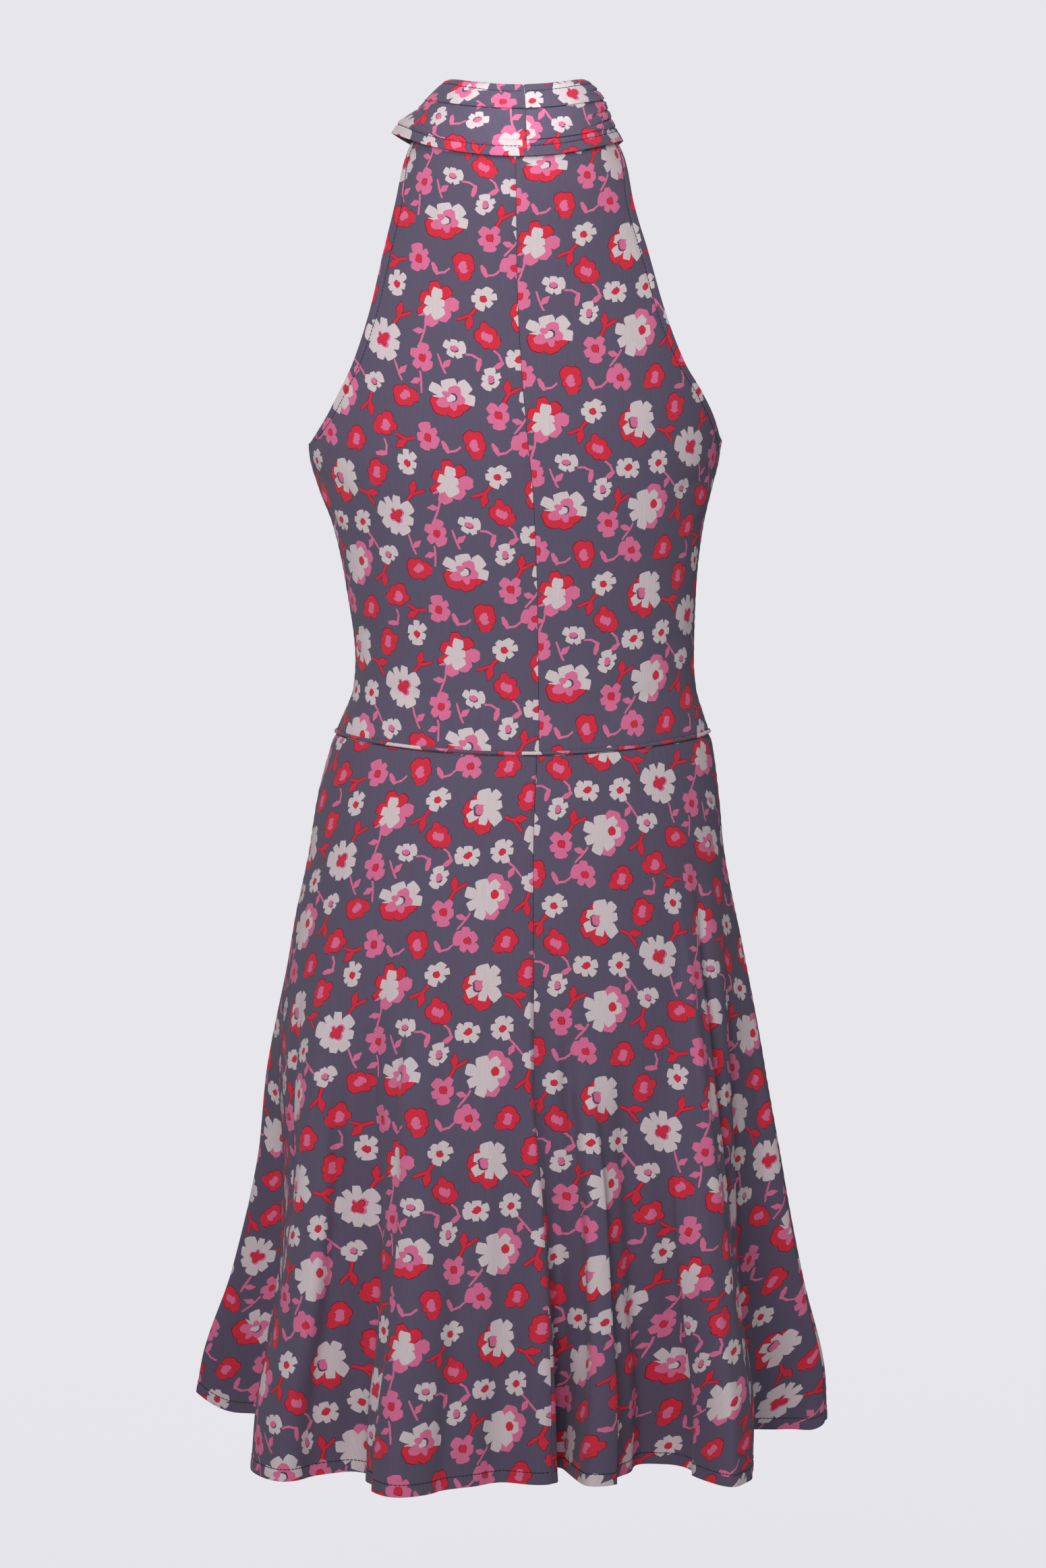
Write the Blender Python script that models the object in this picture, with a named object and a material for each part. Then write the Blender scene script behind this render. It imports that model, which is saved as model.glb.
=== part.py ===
"""Halter dress: high pleated collar, cut-in armholes, seamed waist and a flared skirt in loose folds.

The dress keeps the filled-out form that it has when worn, with nothing inside. Sizes are in millimetres
and become metres when a mesh is made. +Z is up, +X is the wearer's right and -Y is the back. The origin
is the middle of the neck, level with the collar's lower edge, where the wearer's neck holds the dress.
"""
import math
from dataclasses import dataclass

import bpy
import numpy as np

METRES_PER_MM = 0.001

# Cloth and seams
WALL = 1.6
COLLAR_WALL = 2.0
SEAM_GAP = 0.3

# Levels, from the top down
COLLAR_TOP = 46.0
COLLAR_TOP_DIP = 7.0
COLLAR_LOW_SIDE = 2.0
COLLAR_LOW_DIP = 16.0
COLLAR_LOW_ROUNDING = 1.8
BODICE_TUCKED_IN = 6.0
UNDERARM = -222.0
UNDERARM_TOLERANCE = 0.05
WAIST_SIDE = -434.0
WAIST_DIP_BACK = 10.5
WAIST_DIP_FRONT = 6.0
HEM = -960.0

# Bead that lies on the bodice just above the waist seam
PIPING_RISE = 2.3
PIPING_LEAST_STEP = 0.5
PIPING_SLOPE_STEP = 0.5

# Mesh columns and rows
BACK_COLUMNS = 12
FRONT_COLUMNS = 26
BODICE_ROWS_ABOVE = 8
BODICE_ROWS_BELOW = 7
SKIRT_LEFT_COLUMNS = 44
SKIRT_RIGHT_COLUMNS = 40
SKIRT_FRONT_COLUMNS = 74
SKIRT_ROWS = 10
COLLAR_COLUMNS = 56
EDGE_ROUNDS = 6
ROWS_CROWD_DOWN = 1.5

# Small steps for slopes, in degrees, millimetres and parts of the collar's height
ANGLE_STEP = 0.01
LEVEL_STEP = 0.01
COLLAR_LEVEL_STEP = 0.001

# Angles around the body, in degrees: 0 at the centre back, 90 at the +X side, 180 at the centre front
COLLAR_SEAM_ANGLE = 5.0
SKIRT_SEAM_ANGLE = 4.5
SIDE_ANGLE = 90.0
FULL_TURN = 360.0

CLOTH_COLOUR = (0.115, 0.107, 0.168, 1.0)
COLLAR_COLOUR = (0.155, 0.145, 0.225, 1.0)
PIPING_COLOUR = (0.62, 0.20, 0.38, 1.0)
CLOTH_ROUGHNESS = 0.85
SHARP_ANGLE = 50.0


@dataclass(frozen=True)
class Section:
    """One level section of the filled-out form: its middle in X, half width, and depths back and front."""

    z: float
    middle: float
    half: float
    back: float
    front: float


SECTIONS = (
    Section(z=14.0, middle=-2.5, half=68.0, back=60.0, front=60.0),
    Section(z=2.0, middle=-2.5, half=75.5, back=64.0, front=63.0),
    Section(z=-4.0, middle=-2.5, half=78.5, back=66.0, front=65.0),
    Section(z=-10.0, middle=-2.0, half=82.0, back=68.0, front=67.0),
    Section(z=-16.0, middle=-2.0, half=86.0, back=71.0, front=69.0),
    Section(z=-45.0, middle=-2.0, half=111.0, back=86.0, front=79.0),
    Section(z=-84.0, middle=-1.0, half=133.0, back=99.0, front=91.0),
    Section(z=-123.0, middle=0.0, half=146.0, back=106.0, front=107.0),
    Section(z=-162.0, middle=0.0, half=152.0, back=108.0, front=120.0),
    Section(z=-201.0, middle=-1.0, half=153.0, back=107.0, front=124.0),
    Section(z=-228.0, middle=-2.5, half=151.5, back=104.0, front=120.0),
    Section(z=-250.0, middle=-2.0, half=146.0, back=100.0, front=114.0),
    Section(z=-280.0, middle=0.2, half=137.0, back=94.0, front=105.0),
    Section(z=-320.0, middle=2.2, half=130.2, back=86.0, front=95.0),
    Section(z=-380.0, middle=5.0, half=125.6, back=79.0, front=86.0),
    Section(z=-400.0, middle=5.0, half=127.2, back=79.5, front=85.0),
    Section(z=-420.0, middle=4.0, half=134.0, back=82.0, front=86.0),
    Section(z=-440.0, middle=3.0, half=141.0, back=86.0, front=89.0),
    Section(z=-481.0, middle=0.3, half=149.3, back=97.0, front=97.0),
    Section(z=-521.0, middle=-1.0, half=154.5, back=105.0, front=103.0),
    Section(z=-602.0, middle=-2.0, half=171.5, back=118.0, front=112.0),
    Section(z=-683.0, middle=-3.0, half=187.0, back=128.0, front=122.0),
    Section(z=-765.0, middle=0.0, half=198.0, back=137.0, front=132.0),
    Section(z=-847.0, middle=-1.0, half=214.0, back=145.0, front=141.0),
    Section(z=-920.0, middle=-4.0, half=233.0, back=151.0, front=149.0),
    Section(z=-960.0, middle=-6.0, half=236.0, back=153.0, front=152.0),
)


@dataclass(frozen=True)
class ArmholeRow:
    """How far the armhole edges stand from the body's axis at one level, at -X and at +X."""

    z: float
    left: float
    right: float


ARMHOLE = (
    ArmholeRow(z=14.0, left=66.0, right=62.0),
    ArmholeRow(z=2.0, left=75.5, right=71.0),
    ArmholeRow(z=-5.0, left=79.5, right=75.0),
    ArmholeRow(z=-16.0, left=83.0, right=78.5),
    ArmholeRow(z=-45.0, left=88.0, right=83.0),
    ArmholeRow(z=-84.0, left=97.0, right=94.0),
    ArmholeRow(z=-123.0, left=106.0, right=105.0),
    ArmholeRow(z=-162.0, left=119.0, right=120.5),
    ArmholeRow(z=-181.0, left=128.5, right=132.5),
    ArmholeRow(z=-201.0, left=139.5, right=143.0),
    ArmholeRow(z=-222.0, left=154.0, right=150.0),
)
FRONT_PEEKS_OUT = 2.0
FRONT_PEEK_STARTS = -150.0
FRONT_PEEK_GROWS_OVER = 30.0


@dataclass(frozen=True)
class SeamRow:
    """Where the centre back seam of the bodice stands in X at one level."""

    z: float
    x: float


CENTRE_BACK = (
    SeamRow(z=0.0, x=-1.5),
    SeamRow(z=-105.0, x=-0.5),
    SeamRow(z=-178.0, x=3.4),
    SeamRow(z=-214.0, x=6.8),
    SeamRow(z=-258.0, x=11.0),
    SeamRow(z=-327.0, x=14.0),
    SeamRow(z=-445.0, x=15.5),
)


@dataclass(frozen=True)
class Fold:
    """One crest or trough of the skirt: its angle, its place on the hem and the level where it starts."""

    angle: float
    x: float
    y: float
    starts: float


FOLDS = (
    Fold(angle=-90.0, x=-192.0, y=42.0, starts=-560.0),
    Fold(angle=-72.0, x=-186.0, y=-44.0, starts=-560.0),
    Fold(angle=-56.0, x=-193.0, y=-122.0, starts=-560.0),
    Fold(angle=-48.0, x=-168.0, y=-157.0, starts=-600.0),
    Fold(angle=-38.0, x=-122.0, y=-128.0, starts=-640.0),
    Fold(angle=-30.0, x=-109.0, y=-160.0, starts=-600.0),
    Fold(angle=-20.0, x=-84.0, y=-201.0, starts=-600.0),
    Fold(angle=-2.0, x=-14.0, y=-158.0, starts=-640.0),
    Fold(angle=4.5, x=21.0, y=-160.0, starts=-680.0),
    Fold(angle=8.5, x=29.0, y=-120.0, starts=-680.0),
    Fold(angle=15.0, x=54.0, y=-168.0, starts=-660.0),
    Fold(angle=30.0, x=107.0, y=-107.0, starts=-680.0),
    Fold(angle=43.0, x=152.0, y=-172.0, starts=-600.0),
    Fold(angle=52.0, x=170.0, y=-122.0, starts=-520.0),
    Fold(angle=66.0, x=163.0, y=-60.0, starts=-520.0),
    Fold(angle=78.0, x=176.0, y=-8.0, starts=-520.0),
    Fold(angle=90.0, x=232.0, y=0.0, starts=-540.0),
    Fold(angle=103.0, x=214.0, y=60.0, starts=-560.0),
    Fold(angle=117.0, x=192.0, y=124.0, starts=-600.0),
    Fold(angle=128.0, x=146.0, y=108.0, starts=-640.0),
    Fold(angle=144.0, x=110.0, y=178.0, starts=-590.0),
    Fold(angle=159.0, x=62.0, y=130.0, starts=-650.0),
    Fold(angle=174.0, x=12.0, y=184.0, starts=-610.0),
    Fold(angle=189.0, x=-38.0, y=136.0, starts=-680.0),
    Fold(angle=204.0, x=-90.0, y=186.0, starts=-600.0),
    Fold(angle=220.0, x=-130.0, y=126.0, starts=-640.0),
    Fold(angle=232.0, x=-184.0, y=150.0, starts=-580.0),
    Fold(angle=246.0, x=-204.0, y=96.0, starts=-560.0),
    Fold(angle=258.0, x=-249.0, y=58.0, starts=-560.0),
)
FOLD_GROWTH = 1.35


@dataclass(frozen=True)
class CollarLevel:
    """One level of the collar, 0 at its top edge and 1 at its lower edge: reach to each side."""

    level: float
    left: float
    right: float
    back: float
    front: float


COLLAR_LEVELS = (
    CollarLevel(level=0.0, left=55.0, right=52.0, back=47.0, front=48.0),
    CollarLevel(level=0.25, left=63.0, right=60.0, back=55.0, front=56.0),
    CollarLevel(level=0.5, left=73.5, right=65.5, back=62.0, front=62.0),
    CollarLevel(level=0.75, left=83.0, right=70.5, back=69.0, front=67.5),
    CollarLevel(level=1.0, left=82.0, right=77.0, back=74.0, front=72.0),
)
COLLAR_ROWS = (0.0, 0.08, 0.16, 0.235, 0.27, 0.36, 0.48, 0.60, 0.70, 0.74, 0.82, 0.91, 1.0)


@dataclass(frozen=True)
class Tuck:
    """One level pleat of the collar: the cloth above its edge hangs over the cloth below."""

    level: float
    middle_angle: float
    half_angle: float
    depth: float


TUCKS = (
    Tuck(level=0.235, middle_angle=-3.0, half_angle=95.0, depth=2.4),
    Tuck(level=0.70, middle_angle=14.0, half_angle=42.0, depth=1.3),
    Tuck(level=0.235, middle_angle=183.0, half_angle=85.0, depth=2.2),
)
TUCK_RISE = 0.22
TUCK_FALL = 0.035

# Pointed wing of the collar at the -X side
WING_ANGLE = -84.0
WING_HALF_ANGLE = 42.0
WING_LEVEL = 0.82
WING_HALF_LEVEL = 0.26
WING_REACH = 8.0
WING_SHARPNESS = 1.5

# Gathers of the collar at the +X side
GATHER_ANGLE = 82.0
GATHER_HALF_ANGLE = 36.0
GATHER_WAVES = 4.0
GATHER_DEPTH = 1.6


def column_of(rows, key, name, at):
    """Reads a named column between its rows, as a smooth curve that never swings past them.

    Args:
        rows: table rows.
        key: name of the column that orders the rows.
        name: name of the column to read.
        at: array of key values.

    Returns:
        Array of column values, held level past the table's ends.
    """
    ordered = sorted(rows, key=lambda row: getattr(row, key))
    keys = np.array([getattr(row, key) for row in ordered], dtype=float)
    values = np.array([getattr(row, name) for row in ordered], dtype=float)
    spans = np.diff(keys)
    climbs = np.diff(values) / spans
    slopes = np.zeros_like(values)
    before, after = climbs[:-1], climbs[1:]
    same_way = before * after > 0
    product = np.where(same_way, 2.0 * before * after, 0.0)
    slopes[1:-1] = product / np.where(same_way, before + after, 1.0)
    slopes[0], slopes[-1] = climbs[0], climbs[-1]
    return hermite(keys, values, slopes, np.asarray(at, dtype=float))


def hermite(keys, values, slopes, at):
    """Cubic curve through values with the given slopes, read at the given places."""
    row = np.clip(np.searchsorted(keys, at, side="right") - 1, 0, len(keys) - 2)
    span = keys[row + 1] - keys[row]
    t = np.clip((at - keys[row]) / span, 0.0, 1.0)
    rise = t * t * (3.0 - 2.0 * t)
    start_bend = t * (1.0 - t) ** 2 * span
    end_bend = t * t * (t - 1.0) * span
    line = values[row] * (1.0 - rise) + values[row + 1] * rise
    return line + slopes[row] * start_bend + slopes[row + 1] * end_bend


def around_hem(name, degrees):
    """Reads a column of FOLDS round the whole hem as a smooth closed curve."""
    angles = np.array([fold.angle for fold in FOLDS])
    values = np.array([getattr(fold, name) for fold in FOLDS])
    angles = np.concatenate([angles[-2:] - FULL_TURN, angles, angles[:2] + FULL_TURN])
    values = np.concatenate([values[-2:], values, values[:2]])
    slopes = np.zeros_like(values)
    slopes[1:-1] = (values[2:] - values[:-2]) / (angles[2:] - angles[:-2])
    first = FOLDS[0].angle
    wrapped = (np.asarray(degrees) - first) % FULL_TURN + first
    return hermite(angles, values, slopes, wrapped)


def ellipse(degrees, z):
    """Point of the smooth form, before any fold."""
    angle = np.radians(degrees)
    back = column_of(SECTIONS, "z", "back", z)
    front = column_of(SECTIONS, "z", "front", z)
    depth = np.where(np.cos(angle) > 0.0, back, front)
    x = column_of(SECTIONS, "z", "middle", z) + column_of(SECTIONS, "z", "half", z) * np.sin(angle)
    return np.stack([x, -depth * np.cos(angle), z + 0.0 * x], axis=-1)


def body(degrees, z):
    """Outer surface of the dress below the collar, with the skirt's folds."""
    degrees, z = np.broadcast_arrays(np.asarray(degrees, dtype=float), np.asarray(z, dtype=float))
    smooth = ellipse(degrees, z)
    hem_smooth = ellipse(degrees, np.full_like(z, HEM))
    starts = around_hem("starts", degrees)
    growth = np.maximum((starts - z) / (starts - HEM), 0.0) ** FOLD_GROWTH
    smooth[..., 0] += growth * (around_hem("x", degrees) - hem_smooth[..., 0])
    smooth[..., 1] += growth * (around_hem("y", degrees) - hem_smooth[..., 1])
    return smooth


def bump(distance):
    """Soft hill: 1 where distance is 0, and 0 from 1 on."""
    return np.cos(np.clip(np.abs(distance), 0.0, 1.0) * math.pi / 2.0) ** 2


def turned(degrees, middle):
    """Signed angle from middle to degrees, between -180 and 180."""
    return (degrees - middle + FULL_TURN / 2.0) % FULL_TURN - FULL_TURN / 2.0


def collar_low(degrees):
    """Level of the collar's lower edge, lowest at the centre back and front."""
    return COLLAR_LOW_SIDE - COLLAR_LOW_DIP * np.abs(np.cos(np.radians(degrees))) ** COLLAR_LOW_ROUNDING


def tuck_lift(degrees, level):
    """How far the level pleats lift the collar's outer layer."""
    lift = np.zeros_like(level)
    for tuck in TUCKS:
        spread = bump(turned(degrees, tuck.middle_angle) / tuck.half_angle)
        above = np.clip((level - tuck.level + TUCK_RISE) / TUCK_RISE, 0.0, 1.0) ** 2
        below = np.clip(1.0 - (level - tuck.level) / TUCK_FALL, 0.0, 1.0)
        lift = lift + tuck.depth * spread * np.minimum(above, below)
    return lift


def wing_lift(degrees, level):
    """How far the pointed wing stands out at the -X side."""
    spread = bump(turned(degrees, WING_ANGLE) / WING_HALF_ANGLE)
    point = np.clip(1.0 - np.abs(level - WING_LEVEL) / WING_HALF_LEVEL, 0.0, 1.0) ** WING_SHARPNESS
    return WING_REACH * spread * point


def gather_lift(degrees, level):
    """How far the gathers at the +X side stand out, none at the collar's two edges."""
    spread = bump(turned(degrees, GATHER_ANGLE) / GATHER_HALF_ANGLE)
    wave = 0.5 - 0.5 * np.cos(level * GATHER_WAVES * 2.0 * math.pi)
    return GATHER_DEPTH * spread * wave


def collar_form(degrees, level, lift):
    """Point of the collar, moved out from its plain form by lift."""
    angle = np.radians(degrees)
    reach = np.where(
        np.sin(angle) > 0.0,
        column_of(COLLAR_LEVELS, "level", "right", level),
        column_of(COLLAR_LEVELS, "level", "left", level),
    )
    depth = np.where(
        np.cos(angle) > 0.0,
        column_of(COLLAR_LEVELS, "level", "back", level),
        column_of(COLLAR_LEVELS, "level", "front", level),
    )
    top = COLLAR_TOP - COLLAR_TOP_DIP * np.cos(angle) ** 2
    z = top + (collar_low(degrees) - top) * level
    return np.stack([(reach + lift) * np.sin(angle), -(depth + lift) * np.cos(angle), z], axis=-1)


def collar(degrees, level):
    """Outer surface of the collar: level 0 is its top edge and 1 its lower edge."""
    degrees, level = np.broadcast_arrays(np.asarray(degrees, dtype=float), np.asarray(level, dtype=float))
    lift = tuck_lift(degrees, level) + wing_lift(degrees, level) + gather_lift(degrees, level)
    return collar_form(degrees, level, lift)


def collar_under(degrees, level):
    """The surface that the collar's wall is measured from: plain but for the wing."""
    return collar_form(degrees, level, wing_lift(degrees, level))


def waist(degrees):
    """Level of the waist seam, which dips at the centre back and front."""
    turn = np.cos(np.radians(degrees))
    dip = np.where(turn > 0.0, WAIST_DIP_BACK, WAIST_DIP_FRONT)
    return WAIST_SIDE - dip * turn ** 2


def bodice_top(degrees):
    """Level of the bodice's top edge, tucked in behind the collar."""
    return collar_low(degrees) + BODICE_TUCKED_IN


def below_underarm(z):
    """True where a panel ends at the side seam and not at the armhole."""
    return z <= UNDERARM + UNDERARM_TOLERANCE


def armhole_angle(z, right_side, front):
    """Angle where a bodice panel ends at one level: its armhole edge, and the side seam below it.

    Args:
        z: levels.
        right_side: True at +X.
        front: True for the front panel.

    Returns:
        Angle from the centre back, as a positive number up to 90 or, at the front, from the centre front.
    """
    edge = column_of(ARMHOLE, "z", "right" if right_side else "left", z)
    if front:
        edge = edge + FRONT_PEEKS_OUT * np.clip((FRONT_PEEK_STARTS - z) / FRONT_PEEK_GROWS_OVER, 0.0, 1.0)
    middle = column_of(SECTIONS, "z", "middle", z) * (1.0 if right_side else -1.0)
    half = column_of(SECTIONS, "z", "half", z)
    angle = np.degrees(np.arcsin(np.clip((edge - middle) / half, 0.0, 1.0)))
    return np.where(below_underarm(z), SIDE_ANGLE, angle)


def inset(surface, degrees, z, way):
    """Moves a seam's angle back by half the gap between two pieces."""
    ahead = surface(degrees + ANGLE_STEP, z)
    behind = surface(degrees - ANGLE_STEP, z)
    reach = np.linalg.norm(ahead - behind, axis=-1) / (2.0 * ANGLE_STEP)
    return degrees + way * 0.5 * SEAM_GAP / reach


def centre_back_angle(z):
    """Angle of the bodice's leaning centre back seam."""
    x = column_of(CENTRE_BACK, "z", "x", z)
    middle = column_of(SECTIONS, "z", "middle", z)
    half = column_of(SECTIONS, "z", "half", z)
    return np.degrees(np.arcsin((x - middle) / half))


def centre_seam(way):
    """Makes the function that gives one half's edge at the centre back seam."""
    return lambda z: inset(body, centre_back_angle(z), z, way)


def side_edge(right_side, front):
    """Makes the function that gives a bodice panel's armhole edge and, below it, its side seam edge."""
    base = FULL_TURN / 2.0 if front else 0.0
    sign = 1.0 if right_side != front else -1.0

    def edge(z):
        angle = base + sign * armhole_angle(z, right_side, front)
        return np.where(below_underarm(z), inset(body, angle, z, -sign), angle)

    return edge


def bodice_rows():
    """Fractions from the top edge to the waist seam, closer near the row at the underarm."""
    top = COLLAR_LOW_SIDE + BODICE_TUCKED_IN
    underarm = (top - UNDERARM) / (top - WAIST_SIDE - 0.5 * SEAM_GAP)
    above = underarm * (1.0 - (1.0 - np.linspace(0.0, 1.0, BODICE_ROWS_ABOVE + 1)) ** ROWS_CROWD_DOWN)
    below = np.linspace(underarm, 1.0, BODICE_ROWS_BELOW + 1)
    return np.concatenate([above, below[1:]])


def bodice_level(angles, down):
    """Level of a bodice point: down is 0 at the top edge and 1 at the waist seam."""
    top = bodice_top(angles)
    low = waist(angles) + 0.5 * SEAM_GAP
    return top + (low - top) * down


def settled(edge_angle, down):
    """Angle of a panel's edge at each row, once its angle and its level agree."""
    level = bodice_level(np.full_like(down, SIDE_ANGLE), down)
    for _ in range(EDGE_ROUNDS):
        angle = edge_angle(level)
        level = bodice_level(angle, down)
    return angle


def bodice_grid(columns, start_angle, end_angle):
    """Angles and levels of a bodice panel's points.

    Args:
        columns: count of columns.
        start_angle: function of level for the panel's first edge.
        end_angle: function of level for its last edge.

    Returns:
        Two arrays, angles and levels, with a row for each level.
    """
    across = np.linspace(0.0, 1.0, columns + 1)[None, :]
    down = bodice_rows()[:, None]
    angles = settled(start_angle, down) * (1.0 - across) + settled(end_angle, down) * across
    return angles, bodice_level(angles, down)


def skirt_grid(columns, start, end):
    """Angles and levels of a skirt panel's points, between two fixed seam angles."""
    down = np.linspace(0.0, 1.0, SKIRT_ROWS + 1)[:, None]
    across = np.linspace(0.0, 1.0, columns + 1)[None, :]
    level = WAIST_SIDE + (HEM - WAIST_SIDE) * down
    first = inset(body, np.full_like(level, start), level, 1.0)
    last = inset(body, np.full_like(level, end), level, -1.0)
    angles = first * (1.0 - across) + last * across
    top = waist(angles) - 0.5 * SEAM_GAP
    return angles, top + (HEM - top) * down


def normals(surface, across, down, step_down):
    """Unit vectors that point out of a surface at each of its points.

    Args:
        surface: function of angle and of level.
        across: angles in degrees.
        down: levels, in the surface's own measure.
        step_down: small step in that measure, with the sign that leads down the dress.

    Returns:
        Array of vectors, one for each point.
    """
    along = surface(across + ANGLE_STEP, down) - surface(across - ANGLE_STEP, down)
    fall = surface(across, down + step_down) - surface(across, down - step_down)
    out = np.cross(fall, along)
    return out / np.linalg.norm(out, axis=-1, keepdims=True)


def wall_faces(rows, columns):
    """Faces of a closed wall whose outer points are followed by its inner points."""
    width = columns + 1
    inner = (rows + 1) * width

    def at(row, column, side):
        return side * inner + row * width + column

    faces = []
    for column in range(columns):
        beside = column + 1
        for row in range(rows):
            below = row + 1
            faces.append((at(row, column, 0), at(below, column, 0), at(below, beside, 0), at(row, beside, 0)))
            faces.append((at(row, column, 1), at(row, beside, 1), at(below, beside, 1), at(below, column, 1)))
        faces.append((at(0, column, 0), at(0, beside, 0), at(0, beside, 1), at(0, column, 1)))
        faces.append((at(rows, beside, 0), at(rows, column, 0), at(rows, column, 1), at(rows, beside, 1)))
    for row in range(rows):
        below = row + 1
        faces.append((at(below, 0, 0), at(row, 0, 0), at(row, 0, 1), at(below, 0, 1)))
        faces.append((at(row, columns, 0), at(below, columns, 0), at(below, columns, 1), at(row, columns, 1)))
    return faces


def make_material(name, colour):
    """Plain cloth material."""
    material = bpy.data.materials.new(name)
    material.use_nodes = True
    shader = material.node_tree.nodes["Principled BSDF"]
    shader.inputs["Base Color"].default_value = colour
    shader.inputs["Roughness"].default_value = CLOTH_ROUGHNESS
    shader.inputs["Metallic"].default_value = 0.0
    return material


def make_object(name, points, faces, material):
    """Adds one closed solid, its points given in millimetres."""
    mesh = bpy.data.meshes.new(name)
    mesh.from_pydata((np.asarray(points) * METRES_PER_MM).tolist(), [], faces)
    mesh.materials.append(material)
    mesh.shade_smooth()
    mesh.set_sharp_from_angle(angle=math.radians(SHARP_ANGLE))
    placed = bpy.data.objects.new(name, mesh)
    bpy.context.scene.collection.objects.link(placed)
    return placed


def make_body_panel(name, grid, material):
    """Makes one cut piece of the bodice or the skirt as a wall inside the outer surface."""
    angles, levels = grid
    outer = body(angles, levels)
    out = normals(body, angles, levels, -LEVEL_STEP)
    inner = outer - WALL * out
    rows, columns = angles.shape[0] - 1, angles.shape[1] - 1
    points = np.concatenate([outer.reshape(-1, 3), inner.reshape(-1, 3)])
    make_object(name, points, wall_faces(rows, columns), material)


def make_collar(material):
    """Makes the collar, one band that goes round the neck and meets itself at the centre back."""
    level = np.array(COLLAR_ROWS)[:, None]
    start = inset(collar, np.full_like(level, COLLAR_SEAM_ANGLE), level, 1.0)
    end = inset(collar, np.full_like(level, COLLAR_SEAM_ANGLE + FULL_TURN), level, -1.0)
    across = np.linspace(0.0, 1.0, COLLAR_COLUMNS + 1)[None, :]
    angles = start * (1.0 - across) + end * across
    levels = level + 0.0 * across
    outer = collar(angles, levels)
    out = normals(collar_under, angles, levels, COLLAR_LEVEL_STEP)
    inner = collar_under(angles, levels) - COLLAR_WALL * out
    points = np.concatenate([outer.reshape(-1, 3), inner.reshape(-1, 3)])
    make_object("collar", points, wall_faces(len(COLLAR_ROWS) - 1, COLLAR_COLUMNS), material)


@dataclass(frozen=True)
class BeadPoint:
    """One corner of the piping's section: how far out of the bodice and how far up."""

    out: float
    up: float


BEAD = (
    BeadPoint(out=0.3, up=1.5),
    BeadPoint(out=1.5, up=1.2),
    BeadPoint(out=2.1, up=0.0),
    BeadPoint(out=1.5, up=-1.2),
    BeadPoint(out=0.3, up=-1.5),
)


def make_piping(panel_grids, material):
    """Makes the narrow bead above the waist seam, a ring laid on the bodice's own points."""
    bottom = [np.asarray(angles)[-1] for angles, _ in panel_grids]
    angles = np.unique(np.concatenate([row % FULL_TURN for row in bottom]))
    gaps = np.diff(np.append(angles, angles[0] + FULL_TURN))
    angles = angles[gaps > PIPING_LEAST_STEP]
    levels = waist(angles) + PIPING_RISE
    base = body(angles, levels)
    out = normals(body, angles, levels, -LEVEL_STEP)
    up = body(angles, levels + PIPING_SLOPE_STEP) - body(angles, levels - PIPING_SLOPE_STEP)
    rings = [base + corner.out * out + corner.up * up for corner in BEAD]
    points = np.concatenate(rings)
    count = len(angles)
    faces = []
    for corner in range(len(BEAD)):
        following = (corner + 1) % len(BEAD)
        for place in range(count):
            beside = (place + 1) % count
            faces.append((
                corner * count + place,
                following * count + place,
                following * count + beside,
                corner * count + beside,
            ))
    make_object("waist_piping", points, faces, material)


def main():
    """Clears the scene and makes every cut piece of the dress."""
    for old in list(bpy.data.objects):
        bpy.data.objects.remove(old, do_unlink=True)
    cloth = make_material("printed_jersey", CLOTH_COLOUR)
    collar_cloth = make_material("printed_jersey_collar", COLLAR_COLOUR)
    piping_cloth = make_material("printed_jersey_piping", PIPING_COLOUR)

    left_grid = bodice_grid(BACK_COLUMNS, side_edge(False, False), centre_seam(-1.0))
    right_grid = bodice_grid(BACK_COLUMNS, centre_seam(1.0), side_edge(True, False))
    front_grid = bodice_grid(FRONT_COLUMNS, side_edge(True, True), side_edge(False, True))
    make_body_panel("back_bodice_left", left_grid, cloth)
    make_body_panel("back_bodice_right", right_grid, cloth)
    make_body_panel("front_bodice", front_grid, cloth)
    make_body_panel("back_skirt_left", skirt_grid(SKIRT_LEFT_COLUMNS, -SIDE_ANGLE, SKIRT_SEAM_ANGLE), cloth)
    make_body_panel("back_skirt_right", skirt_grid(SKIRT_RIGHT_COLUMNS, SKIRT_SEAM_ANGLE, SIDE_ANGLE), cloth)
    make_body_panel("front_skirt", skirt_grid(SKIRT_FRONT_COLUMNS, SIDE_ANGLE, FULL_TURN - SIDE_ANGLE), cloth)
    make_piping((left_grid, right_grid, front_grid), piping_cloth)
    make_collar(collar_cloth)


main()
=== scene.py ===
"""Looks of a halter dress in printed jersey, shown filled out from the back as in the photograph.

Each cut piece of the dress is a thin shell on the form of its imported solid, with finer folds, creases,
turned edges and stitching, and a scattered flower print that follows the cloth. Sizes in the tables are
millimetres, as in the part's source, and become metres when a mesh is made. Angles are degrees, 0 at the
centre back and 90 at +X.
"""

import logging
import math
from dataclasses import dataclass, field
from enum import Enum
from typing import Callable, Sequence

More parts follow.
